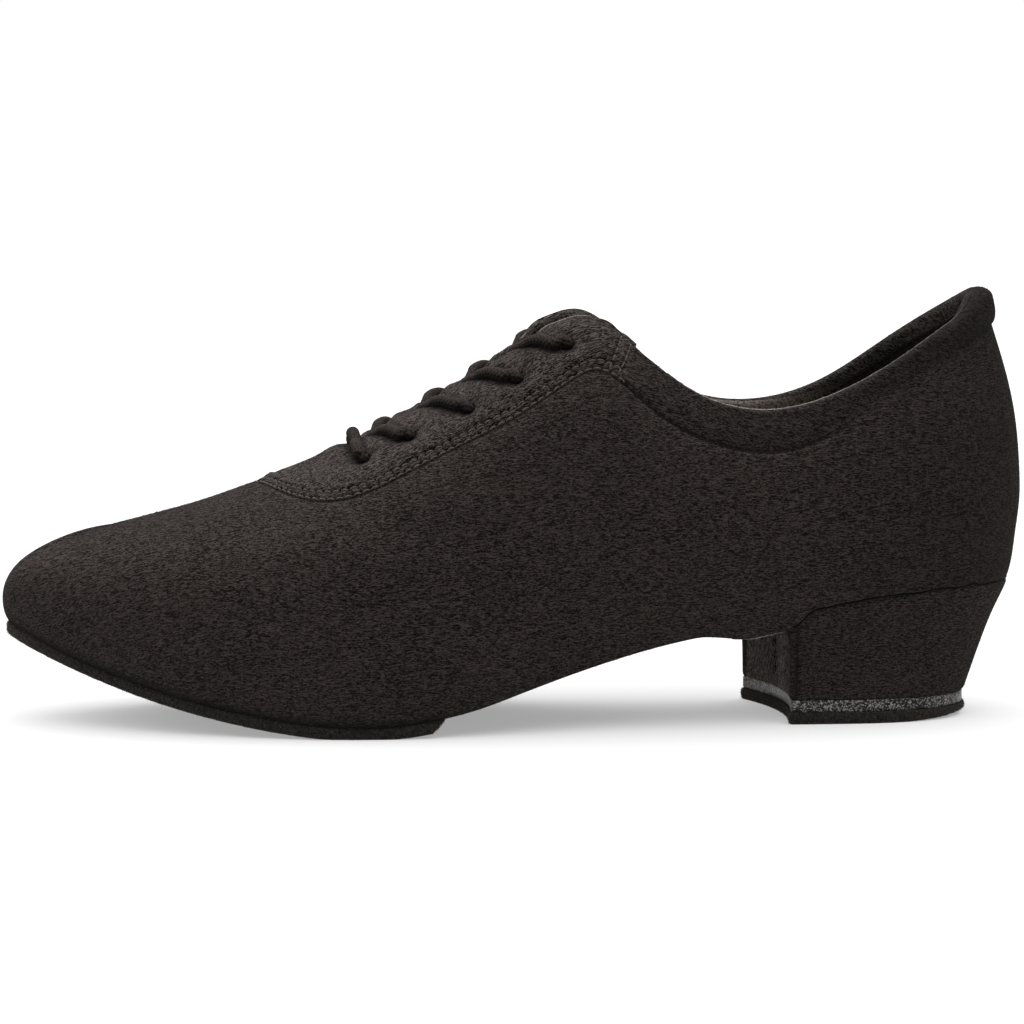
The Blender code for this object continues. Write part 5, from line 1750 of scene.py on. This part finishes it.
fuzzy("facing_fibres", facing_skin, net_faces(*facing_skin.shape[:2]), facing_comb[1:FACING_ROWS + 2],
      facing_tone * (1 - facing_needled), "facing", Density=CLOTH_DENSITY, Seed=3, Material=NAP_FIBRE)
fuzzy("heel_fibres", block_net, net_faces(*block_net.shape[:2], around=True)[:, ::-1], block_comb,
      np.clip(block_tone, 0, 1) ** 2, "microfibre", Density=CLOTH_DENSITY, Seed=4, Material=NAP_FIBRE)

# %% Fibres of the soles' edges
HANG = (0.0, 0.0, -0.4)        # way in which the edges' fibres hang
EDGE_FIBRES = {"Density": 9e6, "Width": 0.1 * MM, "Rise": 0.8, "Spread": 0.6, "Material": SOLE_FIBRE}
fuzzy("lift_fibres", lift_net, net_faces(*lift_net.shape[:2], around=True)[:, ::-1],
      np.broadcast_to(HANG, lift_net.shape), np.ones(lift_net.shape[:2]), "suede", Length=0.55 * MM, Seed=5,
      **EDGE_FIBRES)
sole_fuzz = smooth((0.75 - abs(normals_of(sole_points, sole_faces)[:, 2])) / 0.3)
fuzzy("sole_fibres", sole_points, sole_faces, np.broadcast_to(HANG, sole_points.shape), sole_fuzz, "suede",
      Length=0.6 * MM, Seed=6, **EDGE_FIBRES)

# %% [markdown]
# ## Floor and light
# A catalogue picture stands on white: the floor is so brightly lit that it burns out, and only the soft shadow right
# under the shoe is left. A backlit table and one very wide lamp overhead do that. The room's walls are white up to a
# little above the horizon, and its ceiling is dimmer, so that the tops of the shoe catch more light than its sides.

# %% Floor and light
FLOOR_SIZE = 20.0            # metres
LAMP_POWER, LAMP_SPREAD = 4.4, 120.0         # watts per square metre, degrees
LAMP_FROM = (-0.15, 0.05, 1.0)
WALL_LIGHT, CEILING_LIGHT = 1.0, 0.6
TABLE_LIGHT = 0.34           # light that shines through the table
WALL_TOP = (0.07, 0.16)      # sine of the elevation where the white wall fades into the ceiling
floor_material, tree = new_material("backlit white acrylic")
place = add_node(tree, "ShaderNodeTexCoord").outputs["Object"]
frost = add_node(tree, "ShaderNodeTexNoise", {"Vector": place, "Scale": 900.0, "Detail": 2.0}).outputs["Fac"]
finish_material(tree, {
    "Base Color": tinted(tree, frost, "#b4b4b4", "#bababa"), "Roughness": 1.0, "Specular IOR Level": 0.0,
    "Emission Color": (1.0, 1.0, 1.0, 1.0), "Emission Strength": TABLE_LIGHT})
corner = FLOOR_SIZE / 2 / MM
floor = add_piece("floor", [(-corner, -corner, 0), (corner, -corner, 0), (corner, corner, 0), (-corner, corner, 0)],
                  [(0, 1, 2, 3)], [floor_material])

lamp_data = bpy.data.lights.new("overhead lamp", "SUN")
lamp_data.energy, lamp_data.angle = LAMP_POWER, math.radians(LAMP_SPREAD)
lamp = bpy.data.objects.new("overhead lamp", lamp_data)
bpy.context.scene.collection.objects.link(lamp)
lamp.rotation_euler = (-Vector(LAMP_FROM)).to_track_quat("-Z", "Y").to_euler()
world = bpy.data.worlds.new("white studio")
world.use_nodes = True
tree = world.node_tree
tree.nodes.clear()
way = add_node(tree, "ShaderNodeTexCoord").outputs["Generated"]
rise = add_node(tree, "ShaderNodeSeparateXYZ", {"Vector": way}).outputs["Z"]
strength = ranged(tree, rise, WALL_TOP, (WALL_LIGHT, CEILING_LIGHT))
sky = add_node(tree, "ShaderNodeBackground", {"Color": (1.0, 1.0, 1.0, 1.0), "Strength": strength})
add_node(tree, "ShaderNodeOutputWorld", {"Surface": sky.outputs["Background"]})
bpy.context.scene.world = world
bpy.context.scene.view_settings.view_transform = "Standard"
print("lamp", LAMP_POWER, "W, sky", WALL_LIGHT, "to", CEILING_LIGHT)
